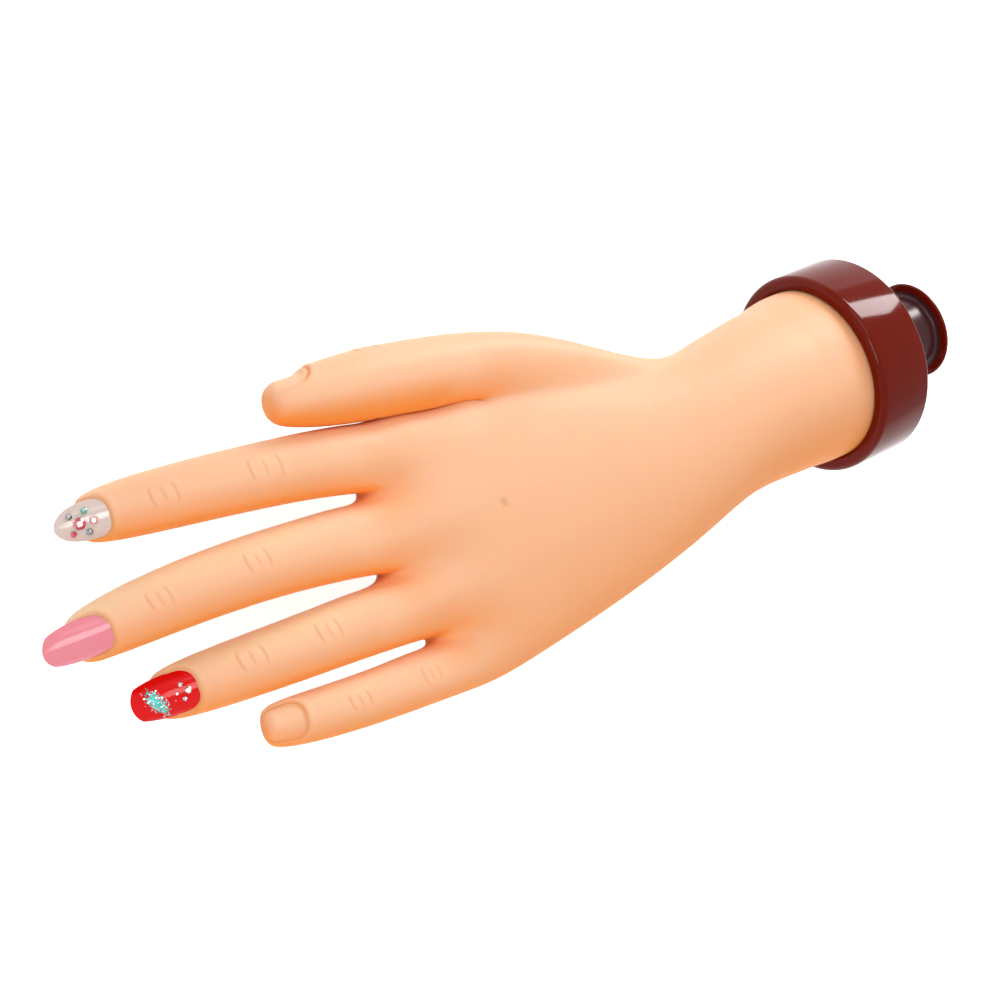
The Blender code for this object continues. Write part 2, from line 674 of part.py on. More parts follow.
def add_screw(name, head_foot, inward, parent, length=SCREW_LENGTH):
    """Adds a pan head screw with a cross recess: its head sits on a face and its shank runs inward."""
    profile = [
        (length, 0.0), (length, SCREW_RADIUS * SCREW_POINT_SHARE), (length - SCREW_RADIUS, SCREW_RADIUS),
        (0.0, SCREW_RADIUS), (0.0, SCREW_HEAD_RADIUS), (-SCREW_HEAD_HEIGHT / 2, SCREW_HEAD_RADIUS),
        (-SCREW_HEAD_HEIGHT, SCREW_HEAD_RADIUS * SCREW_CROWN_SHARE), (-SCREW_HEAD_HEIGHT, 0.0),
    ]
    frame = frame_at(head_foot, inward, SIDEWAYS)
    item = add_object(name, turned_mesh(name, profile, frame, SMALL_ROUND_SIDES), "screw_steel", parent)
    top = frame_at(head_foot - inward * SCREW_HEAD_HEIGHT, inward, SIDEWAYS)
    sizes = (
        (SCREW_HEAD_HEIGHT, SCREW_HEAD_RADIUS, SCREW_SLOT),
        (SCREW_HEAD_HEIGHT, SCREW_SLOT, SCREW_HEAD_RADIUS),
    )
    for number, size in enumerate(sizes, start=1):
        cut_name = f"{name}_slot_{number}"
        combine(item, add_object(cut_name, block_mesh(cut_name, size, top), parent=parent))
    return item


def add_hole(item, name, place, way, radius, length, parent):
    """Cuts a round hole that starts at a place and runs along a direction."""
    profile = [(0.0, 0.0), (0.0, radius), (length, radius), (length, 0.0)]
    mesh = turned_mesh(name, profile, frame_at(place, way, SIDEWAYS), SMALL_ROUND_SIDES)
    combine(item, add_object(name, mesh, parent=parent))


def rounded_corner(along, radius, size, front, steps):
    """Returns the outline points of a rounded outer corner, in the order of rising distance along."""
    points = []
    for step in range(steps + 1):
        angle = math.pi / 2 * step / steps
        rise, run = size * (1.0 - math.sin(angle)), size * (1.0 - math.cos(angle))
        points.append((along + run, radius - rise) if front else (along - rise, radius - run))
    return points


def collar_screw_spots():
    """Returns where the three collar screws' axes meet the collar's back face."""
    spots = []
    for number in range(3):
        angle = math.pi / 2 + math.pi / ROUND_SIDES + 2.0 * math.pi * number / 3
        way = Vector((0.0, math.cos(angle), math.sin(angle)))
        spots.append(WRIST_AXIS + Vector((COLLAR_LENGTH, 0.0, 0.0)) + way * COLLAR_SCREW_CIRCLE)
    return spots


def add_collar(mark):
    """Adds the collar, a ring with a rounded front edge and a back wall, and its three screws."""
    inner = COLLAR_RADIUS - COLLAR_WALL
    wall_front = COLLAR_LENGTH - COLLAR_BACK_WALL
    hole = SPIGOT_RADIUS + CLEARANCE
    profile = rounded_corner(0.0, COLLAR_RADIUS, COLLAR_FRONT_ROUNDING, True, 4)
    profile += rounded_corner(COLLAR_LENGTH, COLLAR_RADIUS, COLLAR_BACK_ROUNDING, False, 2)
    profile += [(COLLAR_LENGTH, hole), (wall_front, hole), (wall_front, inner), (0.0, inner)]
    mesh = turned_mesh("collar", profile, Matrix.Translation(WRIST_AXIS), ROUND_SIDES)
    collar = add_object("collar", mesh, "brown_plastic", mark)
    for number, spot in enumerate(collar_screw_spots(), start=1):
        start = spot - FORWARD * CUTTER_OVERRUN
        length = COLLAR_BACK_WALL + CUTTER_OVERRUN * 2
        add_hole(collar, f"collar_hole_{number}", start, FORWARD, SCREW_RADIUS + CLEARANCE, length, mark)
        add_screw(f"collar_screw_{number}", spot - FORWARD * CLEARANCE, FORWARD, mark)


def add_wrist_plug(mark, tongue_frame, tongue_length):
    """Adds the plug inside the sleeve of skin, with the tongue that carries the wire block."""
    profile = [
        (-PLUG_DEPTH, 0.0), (-PLUG_DEPTH, PLUG_RADIUS - PLUG_CHAMFER),
        (-PLUG_DEPTH + PLUG_CHAMFER, PLUG_RADIUS), (SLEEVE_END, PLUG_RADIUS), (SLEEVE_END, 0.0),
    ]
    mesh = turned_mesh("wrist_plug", profile, Matrix.Translation(WRIST_AXIS), ROUND_SIDES)
    plug = add_object("wrist_plug", mesh, "armature_plastic", mark)
    size = (tongue_length, TONGUE_WIDTH, TONGUE_HEIGHT)
    tongue = add_object("plug_tongue", block_mesh("plug_tongue", size, tongue_frame), parent=mark)
    combine(plug, tongue, "UNION")
    for number, spot in enumerate(collar_screw_spots(), start=1):
        length = SCREW_LENGTH + CLEARANCE
        add_hole(plug, f"plug_hole_{number}", spot, FORWARD, SCREW_RADIUS + CLEARANCE, length, mark)
    start = WRIST_AXIS + Vector((COLLAR_LENGTH, 0.0, 0.0))
    add_hole(plug, "plug_swivel_hole", start, FORWARD, SCREW_RADIUS + CLEARANCE, swivel_reach(), mark)
    return plug


def well_floor():
    """Returns where the well in the back of the knob ends."""
    return COLLAR_LENGTH + NECK_LENGTH + FLANGE_THICKNESS - KNOB_WELL_DEPTH


def swivel_reach():
    """Returns how deep the swivel screw's hole runs from the collar's back face."""
    head_foot = well_floor() + WASHER_THICKNESS + CLEARANCE * 2
    return SWIVEL_SCREW_LENGTH - (head_foot - COLLAR_LENGTH) + CLEARANCE


def add_knob(mark):
    """Adds the knob behind the collar: a neck with an end flange, and its washer and screw."""
    frame = Matrix.Translation(WRIST_AXIS)
    pivot = add_empty("knob_swivel", frame, mark)
    neck_start = COLLAR_LENGTH + CLEARANCE
    spigot_start = COLLAR_LENGTH - COLLAR_BACK_WALL + CLEARANCE
    flange_start = COLLAR_LENGTH + NECK_LENGTH
    end = flange_start + FLANGE_THICKNESS
    hole = SCREW_RADIUS + CLEARANCE
    profile = [
        (spigot_start, hole), (spigot_start, SPIGOT_RADIUS), (neck_start, SPIGOT_RADIUS),
        (neck_start, NECK_RADIUS), (flange_start, NECK_RADIUS),
        *rounded_corner(flange_start, FLANGE_RADIUS, FLANGE_RIM / 2, True, 2),
        (flange_start + FLANGE_RIM, FLANGE_RADIUS), (end, FLANGE_BACK_RADIUS),
        (end, KNOB_WELL_RADIUS), (well_floor(), KNOB_WELL_RADIUS), (well_floor(), hole),
    ]
    add_object("mount_knob", turned_mesh("mount_knob", profile, frame, ROUND_SIDES), "brown_plastic", pivot)
    front = well_floor() + CLEARANCE
    back = front + WASHER_THICKNESS
    ring = [(front, hole), (front, WASHER_RADIUS), (back, WASHER_RADIUS), (back, hole)]
    washer = turned_mesh("swivel_washer", ring, frame, SMALL_ROUND_SIDES)
    add_object("swivel_washer", washer, "screw_steel", pivot)
    foot = WRIST_AXIS + Vector((back + CLEARANCE, 0.0, 0.0))
    add_screw("swivel_screw", foot, FORWARD, pivot, SWIVEL_SCREW_LENGTH)


def row_at(rows, reach):
    """Returns the row at a reach, between the two rows that lie round it."""
    for near, far in zip(rows, rows[1:]):
        if near[0] <= reach <= far[0]:
            mix = (reach - near[0]) / (far[0] - near[0])
            return tuple(low + (high - low) * mix for low, high in zip(near, far))
    return rows[-1]


def cavity_mesh():
    """Makes the hollow of the hand: the wrist and palm rows drawn in by the skin's wall."""
    rows = palm_rows()
    opening = (rows[0][0] - CUTTER_OVERRUN, *rows[0][1:])
    end = PALM_LENGTH * BLOCK_REACH_SHARE + BLOCK_LENGTH + BLOCK_GAP
    chosen = [opening] + [row for row in rows if row[0] < end - BLOCK_GAP] + [row_at(rows, end)]
    bm = bmesh.new()
    rings = [[bm.verts.new(point) for point in row_points(row, SKIN_WALL)] for row in chosen]
    for back_ring, front_ring in zip(rings, rings[1:]):
        for step in range(PALM_SIDES):
            after = (step + 1) % PALM_SIDES
            bm.faces.new((back_ring[step], back_ring[after], front_ring[after], front_ring[step]))
    bm.faces.new(reversed(rings[0]))
    bm.faces.new(rings[-1])
    return mesh_from(bm, "hand_cavity")


def add_palm(surface, fingers, wires, mark):
    """Adds the palm and wrist skin with its sockets for the finger roots, its hollow and its bores."""
    bm = bmesh.new()
    bm.from_mesh(surface)
    for place, finger in enumerate(fingers):
        along, up, across = finger.hinge_axes()
        height = finger.half_width if finger.name == "thumb" else finger.half_depth
        raised, lowered = math.radians(EXTEND_LIMIT_DEG), math.radians(FLEX_LIMIT_DEG)
        top = up * math.cos(raised) - along * math.sin(raised)
        bottom = -up * math.cos(lowered) - along * math.sin(lowered)
        slope = (top - bottom).normalized()
        facing = across.cross(slope)
        if facing.dot(along) < 0:
            facing.negate()
        rim = finger.hinge + bottom * height - facing * HINGE_CLEARANCE
        faces = [face for face in bm.faces if face.material_index == place + 1]
        split_at(bm, faces, rim, facing)
    bmesh.ops.triangulate(bm, faces=bm.faces)
    for face in bm.faces:
        face.material_index = 0
    palm = add_object("palm_skin", mesh_from(bm, "palm_skin"), "soft_skin", mark, sharp_deg=60.0)
    combine(palm, add_object("hand_cavity", cavity_mesh(), parent=mark))
    for finger in fingers:
        name = f"{finger.name}_socket"
        combine(palm, add_object(name, ball_mesh(name, finger, HINGE_CLEARANCE), parent=mark))
        combine(palm, wires[finger.name])
    return palm


def add_finger(surface, place, finger, wire, pivot):
    """Adds one finger's skin: the hand's surface past the hinge, on a rounded root."""
    bm = bmesh.new()
    bm.from_mesh(surface)
    others = [face for face in bm.faces if face.material_index != place + 1]
    bmesh.ops.delete(bm, geom=others, context="FACES")
    along = finger.hinge_axes()[0]
    split_at(bm, list(bm.faces), finger.hinge + along * CLEARANCE, -along)
    loose = [vert for vert in bm.verts if not vert.link_faces]
    bmesh.ops.delete(bm, geom=loose, context="VERTS")
    bmesh.ops.triangulate(bm, faces=bm.faces)
    for face in bm.faces:
        face.material_index = 0
    name = f"{finger.name}_skin"
    skin = add_object(name, mesh_from(bm, name), "soft_skin", pivot, sharp_deg=60.0)
    root_name = f"{finger.name}_root"
    root = add_object(root_name, ball_mesh(root_name, finger, 0.0), parent=pivot)
    combine(skin, root, "UNION")
    combine(skin, wire)
    return skin


def stand_on_origin(mark):
    """Tips the hand onto the table and moves it so that the origin is the middle of its footprint."""
    mark.rotation_euler = (0.0, math.radians(TABLE_TILT_DEG), 0.0)
    bpy.context.view_layer.update()
    graph = bpy.context.evaluated_depsgraph_get()
    low = Vector((math.inf,) * 3)
    high = -low
    for item in bpy.data.objects:
        if item.type in {"MESH", "CURVE"} and not item.hide_render:
            shape = item.evaluated_get(graph)
            mesh = shape.to_mesh()
            for vert in mesh.vertices:
                spot = item.matrix_world @ vert.co
                low = Vector(map(min, low, spot))
                high = Vector(map(max, high, spot))
            shape.to_mesh_clear()
    mark.location = (-(low.x + high.x) / 2, -(low.y + high.y) / 2, -low.z)
    bpy.context.view_layer.update()


def add_armature(fingers, mark):
    """Adds the plug, the wire block, its screws and the wires, and returns the wires' bore cutters."""
    middle = sum((finger.hinge for finger in fingers[:4]), Vector()) / 4
    slope = (middle - WRIST_AXIS).normalized()
    block_reach = PALM_LENGTH * BLOCK_REACH_SHARE
    centre = WRIST_AXIS + slope * (block_reach + BLOCK_LENGTH / 2)
    frame = frame_at(centre, -slope)
    side, up = frame.to_3x3() @ SIDEWAYS, frame.to_3x3() @ UP
    mesh = block_mesh("wire_block", (BLOCK_LENGTH, BLOCK_WIDTH, BLOCK_HEIGHT), frame)
    block = add_object("wire_block", mesh, "armature_plastic", mark)
    tongue_length = block_reach + BLOCK_LENGTH
    tongue_middle = WRIST_AXIS + slope * tongue_length / 2
    tongue_middle -= up * (BLOCK_HEIGHT / 2 + TONGUE_HEIGHT / 2 + CLEARANCE)
    plug = add_wrist_plug(mark, frame_at(tongue_middle, -slope), tongue_length)
    bores = {}
    for place, finger in enumerate(fingers):
        if finger.name == "thumb":
            start = centre + side * BLOCK_WIDTH / 2 - slope * BLOCK_LENGTH * THUMB_WIRE_SHARE
        else:
            gaps = len(WEB_REACH_SHARES)
            spread = BLOCK_WIDTH * WIRE_SPREAD_SHARE * (gaps / 2 - place) / gaps
            start = centre + slope * BLOCK_LENGTH / 2 + side * spread
        route = wire_points(finger, start, (finger.hinge - start).normalized())
        name = f"{finger.name}_wire"
        add_object(name, rod_mesh(name, route, WIRE_RADIUS), "armature_wire", mark)
        route[0] += (route[0] - route[1]).normalized() * CLEARANCE
        route[-1] += (route[-1] - route[-2]).normalized() * CLEARANCE
        name = f"{finger.name}_bore"
        bores[finger.name] = add_object(name, rod_mesh(name, route, WIRE_RADIUS + CLEARANCE), parent=mark)
        combine(block, bores[finger.name])
    for number, way in enumerate((-1.0, 1.0), start=1):
        top = centre + slope * way * BLOCK_SCREW_PITCH / 2 + up * BLOCK_HEIGHT / 2
        start, length = top + up * CUTTER_OVERRUN, BLOCK_SCREW_LENGTH + CUTTER_OVERRUN * 2
        add_hole(block, f"block_hole_{number}", start, -up, SCREW_RADIUS + CLEARANCE, length, mark)
        add_hole(plug, f"tongue_hole_{number}", start, -up, SCREW_RADIUS + CLEARANCE, length, mark)
        add_screw(f"block_screw_{number}", top + up * CLEARANCE, -up, mark, BLOCK_SCREW_LENGTH)
    return bores


def main():
    """Builds the hand."""
    clear_scene()
    mark = add_empty("hand_mark", Matrix.Identity(4), None)
    fingers = [Finger(name) for name in FINGERS]
    surface = hand_surface(fingers)
    bores = add_armature(fingers, mark)
    add_collar(mark)
    add_knob(mark)
    add_palm(surface, fingers, bores, mark)
    for place, finger in enumerate(fingers):
        along, up, _ = finger.hinge_axes()
        pivot = add_empty(f"{finger.name}_hinge", frame_at(finger.hinge, along, up), mark)
        skin = add_finger(surface, place, finger, bores[finger.name], pivot)
        nail = Nail(finger)
        add_nail_seat(skin, nail, pivot)
        if finger.name in WORN_NAILS:
            slide = add_empty(f"{finger.name}_slide", frame_at(nail.place, nail.along, nail.back), pivot)
            add_nail_tip(nail, slide)
            if finger.name == "index":
                add_stones(nail, STONE_LAYOUT_SHARES, STONE_RADIUS, STONE_HEIGHT, "red_stone", slide)
            if finger.name == "ring":
                add_stones(nail, STUD_LAYOUT_SHARES, STUD_RADIUS, STUD_HEIGHT, "silver_stud", slide)
    stand_on_origin(mark)


main()
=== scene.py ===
"""Nail practice hand: the finished look of a soft left hand on its brown collar and mounting knob."""

from __future__ import annotations

import json
import logging
import math
from dataclasses import dataclass, field
from enum import Enum

import bmesh
import bpy
import numpy as np
from mathutils import Matrix, Vector

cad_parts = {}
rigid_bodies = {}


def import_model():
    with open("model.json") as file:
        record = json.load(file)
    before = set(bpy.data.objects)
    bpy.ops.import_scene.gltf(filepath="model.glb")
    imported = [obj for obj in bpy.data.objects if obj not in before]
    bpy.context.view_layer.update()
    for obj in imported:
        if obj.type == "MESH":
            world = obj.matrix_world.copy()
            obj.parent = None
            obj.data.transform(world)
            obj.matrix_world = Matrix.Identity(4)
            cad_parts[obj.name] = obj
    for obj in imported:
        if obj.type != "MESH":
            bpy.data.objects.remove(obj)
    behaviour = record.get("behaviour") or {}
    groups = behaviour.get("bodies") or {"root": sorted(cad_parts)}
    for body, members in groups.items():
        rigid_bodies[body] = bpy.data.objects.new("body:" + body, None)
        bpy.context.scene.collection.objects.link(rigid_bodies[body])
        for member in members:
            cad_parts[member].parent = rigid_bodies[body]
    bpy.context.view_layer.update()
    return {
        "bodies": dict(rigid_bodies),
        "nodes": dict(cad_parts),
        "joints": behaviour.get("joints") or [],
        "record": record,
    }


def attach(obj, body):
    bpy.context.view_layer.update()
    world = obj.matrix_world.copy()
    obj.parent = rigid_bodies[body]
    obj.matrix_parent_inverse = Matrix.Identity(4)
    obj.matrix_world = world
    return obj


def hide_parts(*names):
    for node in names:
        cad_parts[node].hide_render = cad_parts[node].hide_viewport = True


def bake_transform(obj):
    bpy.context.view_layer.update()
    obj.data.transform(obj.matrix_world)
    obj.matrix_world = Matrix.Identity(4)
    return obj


LOG = logging.getLogger("practice_hand")
MM = 0.001
UP = Vector((0.0, 0.0, 1.0))
SIDEWAYS = Vector((0.0, 1.0, 0.0))
FORWARD = Vector((-1.0, 0.0, 0.0))
MERGE_DISTANCE = 0.02 * MM
RING_SIDES = 8
PALM_SIDES = 20

Shape = bmesh.types.BMesh
Vert = bmesh.types.BMVert
Tree = bpy.types.NodeTree
Socket = bpy.types.NodeSocket
Colour = tuple[float, float, float]
Place = tuple[float, float, float]
Span = tuple[float, float]


class Digit(Enum):
    """The five digits, in the order in which the hand's faces are numbered."""

    INDEX = "index"
    MIDDLE = "middle"
    RING = "ring"
    LITTLE = "little"
    THUMB = "thumb"

    @property
    def body(self) -> str:
        """The body that this digit moves with."""
        return "thumb" if self is Digit.THUMB else f"{self.value}_finger"


class Slot(Enum):
    """The record's material slots."""

    SKIN = "soft_skin"
    BROWN = "brown_plastic"
    NUDE = "nude_nail"
    PINK = "pink_nail"
    RED = "red_nail"
    STONE = "red_stone"
    STUD = "silver_stud"
    WIRE = "armature_wire"
    MOULDED = "armature_plastic"
    STEEL = "screw_steel"


class SkinLayer(Enum):
    """What the skin's finish reads from the skin's own vertices."""

    # Painted shade on low sides, under the thumb, in the webs and by the collar.
    PAINTED_SHADE = "warmth"
    # Painted light on the fingers' sides towards the thumb.
    PAINTED_LIGHT = "pale"
    # Painted shade in creases and nail grooves.
    PAINTED_CREASE_SHADE = "crevice"
    SPECK = "speck"
    BLEED = "bleed"


class Finish(Enum):
    """The finishes of the hand's pieces."""

    SKIN = "skin"
    BROWN = "brown"
    # Painted shade on the knob's neck.
    PAINTED_NECK_SHADE = "umber"
    NUDE = "nude"
    PINK = "pink"
    RED = "red"
    RUBY = "ruby"
    ROSE = "rose"
    LEAF = "leaf"
    SMOKE = "smoke"
    TEAL = "teal"
    SILVER = "silver"
    STEEL = "steel"
    WIRE = "wire"
    MOULDED = "moulded"


# ---- finishes

def new_material(name: str) -> tuple[bpy.types.Material, Tree, bpy.types.Node]:
    """Makes a node material that has only its Principled shader.

    Args:
        name: The material's name.

    Returns:
        The material, its node tree and the shader.
    """
    made = bpy.data.materials.new(name)
    made.use_nodes = True
    tree = made.node_tree
    return made, tree, tree.nodes["Principled BSDF"]


def plug(value: object, socket: Socket) -> None:
    """Links an output to an input, or sets the input to a plain value.

    Args:
        value: The output, or the value.
        socket: The input.
    """
    if isinstance(value, Socket):
        socket.id_data.links.new(value, socket)
    else:
        socket.default_value = value


def set_inputs(node: bpy.types.Node, **sockets: object) -> bpy.types.Node:
    """Links or sets a node's inputs.

    Args:
        node: The node.
        **sockets: Input names, with underscores for spaces, and a value or an output to link.

    Returns:
        The node.
    """
    for key, value in sockets.items():
        plug(value, node.inputs[key.replace("_", " ")])
    return node


def add_node(tree: Tree, kind: str, **sockets: object) -> bpy.types.Node:
    """Adds a node and links or sets its inputs."""
    return set_inputs(tree.nodes.new(kind), **sockets)


def noise(tree: Tree, scale: float, detail: float) -> Socket:
    """Returns noise from 0 to 1 in the piece's own space, of so many cells to the metre and octaves."""
    place = tree.nodes.new("ShaderNodeTexCoord").outputs["Object"]
    return add_node(tree, "ShaderNodeTexNoise", Vector=place, Scale=scale, Detail=detail).outputs["Fac"]


def read_layer(tree: Tree, layer: SkinLayer) -> Socket:
    """Adds a node that reads one of the skin's layers.

    Args:
        tree: The node tree.
        layer: The layer.

    Returns:
        The layer's value, from 0 to 1.
    """
    node = add_node(tree, "ShaderNodeAttribute")
    node.attribute_name = layer.value
    return node.outputs["Fac"]


def ramp(tree: Tree, value: Socket, low: float, high: float) -> Socket:
    """Returns a value between 0 and 1 mapped onto the range from low to high."""
    return add_node(tree, "ShaderNodeMapRange", Value=value, To_Min=low, To_Max=high).outputs["Result"]


def mix_colour(tree: Tree, share: Socket, first: object, second: object) -> Socket:
    """Mixes two colours.

    Args:
        tree: The node tree.
        share: How much of the second colour shows.
        first: A colour or a colour socket.
        second: A colour or a colour socket.

    Returns:
        The mixed colour.
    """
    node = tree.nodes.new("ShaderNodeMix")
    node.data_type = "RGBA"
    plug(share, node.inputs[0])
    for value, socket in zip((first, second), node.inputs[6:8]):
        plug(value if isinstance(value, Socket) else (*value, 1.0), socket)
    return node.outputs[2]


def when_seen(tree: Tree, lit: float, seen: float) -> Socket:
    """Returns one value for rays that light the scene and another for those that look at it.

    Args:
        tree: The node tree.
        lit: The value for diffuse and shadow rays.
        seen: The value for camera, glossy and transmission rays.

    Returns:
        The value's socket.
    """
    path = tree.nodes.new("ShaderNodeLightPath")
    looking = path.outputs["Is Camera Ray"]
    for ray in ("Is Glossy Ray", "Is Transmission Ray"):
        either = tree.nodes.new("ShaderNodeMath")
        either.operation = "MAXIMUM"
        tree.links.new(looking, either.inputs[0])
        tree.links.new(path.outputs[ray], either.inputs[1])
        looking = either.outputs["Value"]
    return ramp(tree, looking, lit, seen)


def bump(tree: Tree, height: Socket, depth: float) -> Socket:
    """Returns the normals of a surface that values from 0 to 1 raise, by a depth in metres at 1."""
    return add_node(tree, "ShaderNodeBump", Height=height, Distance=depth, Strength=1.0).outputs["Normal"]


@dataclass(frozen=True)
class SkinFinish:
    """Soft vinyl: faintly mottled peach, with painted shade on its low sides and in creases, painted light on
    some fingers' sides, and light inside.
    """

    base: Colour = (0.93, 0.545, 0.335)
    warm: Colour = (0.93, 0.505, 0.295)
    # Painted shade: the deeper orange of low sides, under the thumb, in the webs and by the collar.
    shade: Colour = (0.97, 0.30, 0.050)
    # Painted light: a paler peach that lifts the shade on the fingers' sides towards the thumb.
    pale: Colour = (0.94, 0.64, 0.39)
    # Painted shade in creases, under the knuckles and in the nail grooves.
    crease_shade: Colour = (0.80, 0.31, 0.09)
    speck: Colour = (0.30, 0.12, 0.06)
    mottle: Span = (55.0, 3.0)
    grain: Span = (900.0, 3.0)
    grain_depth: float = 0.05 * MM
    roughness: Span = (0.48, 0.58)
    shine: float = 0.26
    bleed: Colour = (1.0, 0.42, 0.16)
    bleed_reach: float = 2.2 * MM
    bleed_share: float = 0.55

    def make(self, name: str) -> bpy.types.Material:
        """Builds the material.

        Args:
            name: The material's name.

        Returns:
            The material.
        """
        made, tree, shader = new_material(name)
        colour = mix_colour(tree, noise(tree, *self.mottle), self.base, self.warm)
        # Painted shade, painted light and painted crease shade go over the mottled peach, then the moulding's
        # dark speck.
        for layer, tint in (
            (SkinLayer.PAINTED_SHADE, self.shade), (SkinLayer.PAINTED_LIGHT, self.pale),
            (SkinLayer.PAINTED_CREASE_SHADE, self.crease_shade), (SkinLayer.SPECK, self.speck),
        ):
            colour = mix_colour(tree, read_layer(tree, layer), colour, tint)
        grain = noise(tree, *self.grain)
        inside = ramp(tree, read_layer(tree, SkinLayer.BLEED), 0.0, self.bleed_share)
        set_inputs(
            shader, Base_Color=colour, Roughness=ramp(tree, grain, *self.roughness),
            Normal=bump(tree, grain, self.grain_depth), Subsurface_Weight=inside,
            Subsurface_Radius=self.bleed, Subsurface_Scale=self.bleed_reach, Specular_IOR_Level=self.shine,
        )
        return made


@dataclass(frozen=True)
class GlossFinish:
    """Polished moulded plastic or nail lacquer, with faint waves and fine wear in the gloss."""

    colour: Colour
    shade: Colour
    roughness: Span
    coat: float = 0.0
    shine: float = 0.5
    ior: float = 1.5
    cloud: Span = (70.0, 2.0)
    wear: Span = (1400.0, 4.0)
    waves: Span = (90.0, 1.0)
    wave_depth: float = 0.01 * MM
    coat_roughness: float = 0.04

    def make(self, name: str) -> bpy.types.Material:
        """Builds the material.

        Args:
            name: The material's name.

        Returns:
            The material.
        """
        made, tree, shader = new_material(name)
        set_inputs(
            shader, Base_Color=mix_colour(tree, noise(tree, *self.cloud), self.colour, self.shade),
            Roughness=ramp(tree, noise(tree, *self.wear), *self.roughness),
            Normal=bump(tree, noise(tree, *self.waves), self.wave_depth), IOR=self.ior,
            Specular_IOR_Level=self.shine, Coat_Weight=self.coat, Coat_Roughness=self.coat_roughness,
        )
        return made


@dataclass(frozen=True)
class MetalFinish:
    """Plain metal with fine turning or drawing marks."""

    colour: Colour
    roughness: Span
    dull_share: float = 0.8
    marks: Span = (2500.0, 3.0)
    mark_depth: float = 0.005 * MM

    def make(self, name: str) -> bpy.types.Material:
        """Builds the material.

        Args:
            name: The material's name.

        Returns:
            The material.
        """
        made, tree, shader = new_material(name)
        marks = noise(tree, *self.marks)
        dull = tuple(channel * self.dull_share for channel in self.colour)
        set_inputs(
            shader, Base_Color=mix_colour(tree, marks, self.colour, dull), Metallic=1.0,
            Roughness=ramp(tree, marks, *self.roughness), Normal=bump(tree, marks, self.mark_depth),
        )
        return made


@dataclass(frozen=True)
class GemFinish:
    """Faceted acrylic stone with a bright coat and a little light through it."""

    colour: Colour
    shade: Colour
    roughness: Span = (0.03, 0.10)
    sparkle: Span = (1100.0, 2.0)
    shine: float = 0.8
    clear_share: float = 0.25

    def make(self, name: str) -> bpy.types.Material:
        """Builds the material.

        Args:
            name: The material's name.

        Returns:
            The material.
        """
        made, tree, shader = new_material(name)
        sparkle = noise(tree, *self.sparkle)
        set_inputs(
            shader, Base_Color=mix_colour(tree, sparkle, self.colour, self.shade),
            Roughness=ramp(tree, sparkle, *self.roughness), Coat_Weight=1.0,
            Specular_IOR_Level=self.shine, Transmission_Weight=self.clear_share,
        )
        return made


FINISH_TABLE = {
    Finish.SKIN: SkinFinish(),
    Finish.BROWN: GlossFinish((0.164, 0.0080, 0.0008), (0.140, 0.0066, 0.0008), (0.06, 0.12), ior=1.2),
    # Painted shade: a darker brown for the knob's neck, where the collar and the flange shade it.
    Finish.PAINTED_NECK_SHADE: GlossFinish((0.070, 0.0180, 0.0200), (0.056, 0.0150, 0.0175), (0.18, 0.28), shine=0.2),
    Finish.NUDE: GlossFinish((0.70, 0.55, 0.49), (0.73, 0.585, 0.525), (0.10, 0.16), coat=0.1),
    Finish.PINK: GlossFinish((0.86, 0.245, 0.300), (0.88, 0.275, 0.330), (0.06, 0.10), ior=1.35),
    Finish.RED: GlossFinish((0.80, 0.003, 0.004), (0.75, 0.002, 0.003), (0.05, 0.09), ior=1.28),
    Finish.RUBY: GemFinish((0.62, 0.010, 0.030), (0.85, 0.10, 0.14)),
    Finish.ROSE: GemFinish((0.85, 0.26, 0.30), (0.95, 0.70, 0.68)),
    Finish.LEAF: GemFinish((0.05, 0.42, 0.30), (0.22, 0.62, 0.50)),
    Finish.SMOKE: MetalFinish((0.30, 0.32, 0.34), (0.15, 0.30)),
    Finish.TEAL: MetalFinish((0.06, 0.66, 0.58), (0.20, 0.40)),
    Finish.SILVER: MetalFinish((0.66, 0.68, 0.70), (0.10, 0.24)),
    Finish.STEEL: MetalFinish((0.62, 0.63, 0.65), (0.20, 0.36)),
    Finish.WIRE: MetalFinish((0.60, 0.60, 0.58), (0.28, 0.42)),
    Finish.MOULDED: GlossFinish((0.62, 0.58, 0.48), (0.58, 0.54, 0.44), (0.40, 0.55)),
}


@dataclass
class Finishes:
    """All the materials of the hand, each made on first use."""

    made: dict[Finish, bpy.types.Material] = field(default_factory=dict)

    def get(self, finish: Finish) -> bpy.types.Material:
        """Returns a finish's material, made on first use.

        Args:
            finish: The finish.

        Returns:
            The material.
        """
        if finish not in self.made:
            self.made[finish] = FINISH_TABLE[finish].make(finish.value)
        return self.made[finish]

    def cover(self, item: bpy.types.Object, finish: Finish) -> None:
        """Gives an object one finish in place of what it has."""
        item.data.materials.clear()
        item.data.materials.append(self.get(finish))


# ---- making pieces

def link_object(name: str, data: object) -> bpy.types.Object:
    """Makes an object and links it to the scene.

    Args:
        name: The object's name.
        data: Its mesh, lamp or camera.

    Returns:
        The object.
    """
    item = bpy.data.objects.new(name, data)
    bpy.context.scene.collection.objects.link(item)
    return item


def plain_mesh(bm: Shape, name: str) -> bpy.types.Mesh:
    """Turns a bmesh into a mesh and frees it.

    Args:
        bm: The shape.
        name: The mesh's name.

    Returns:
        The mesh.
    """
    mesh = bpy.data.meshes.new(name)
    bm.to_mesh(mesh)
    bm.free()
    return mesh


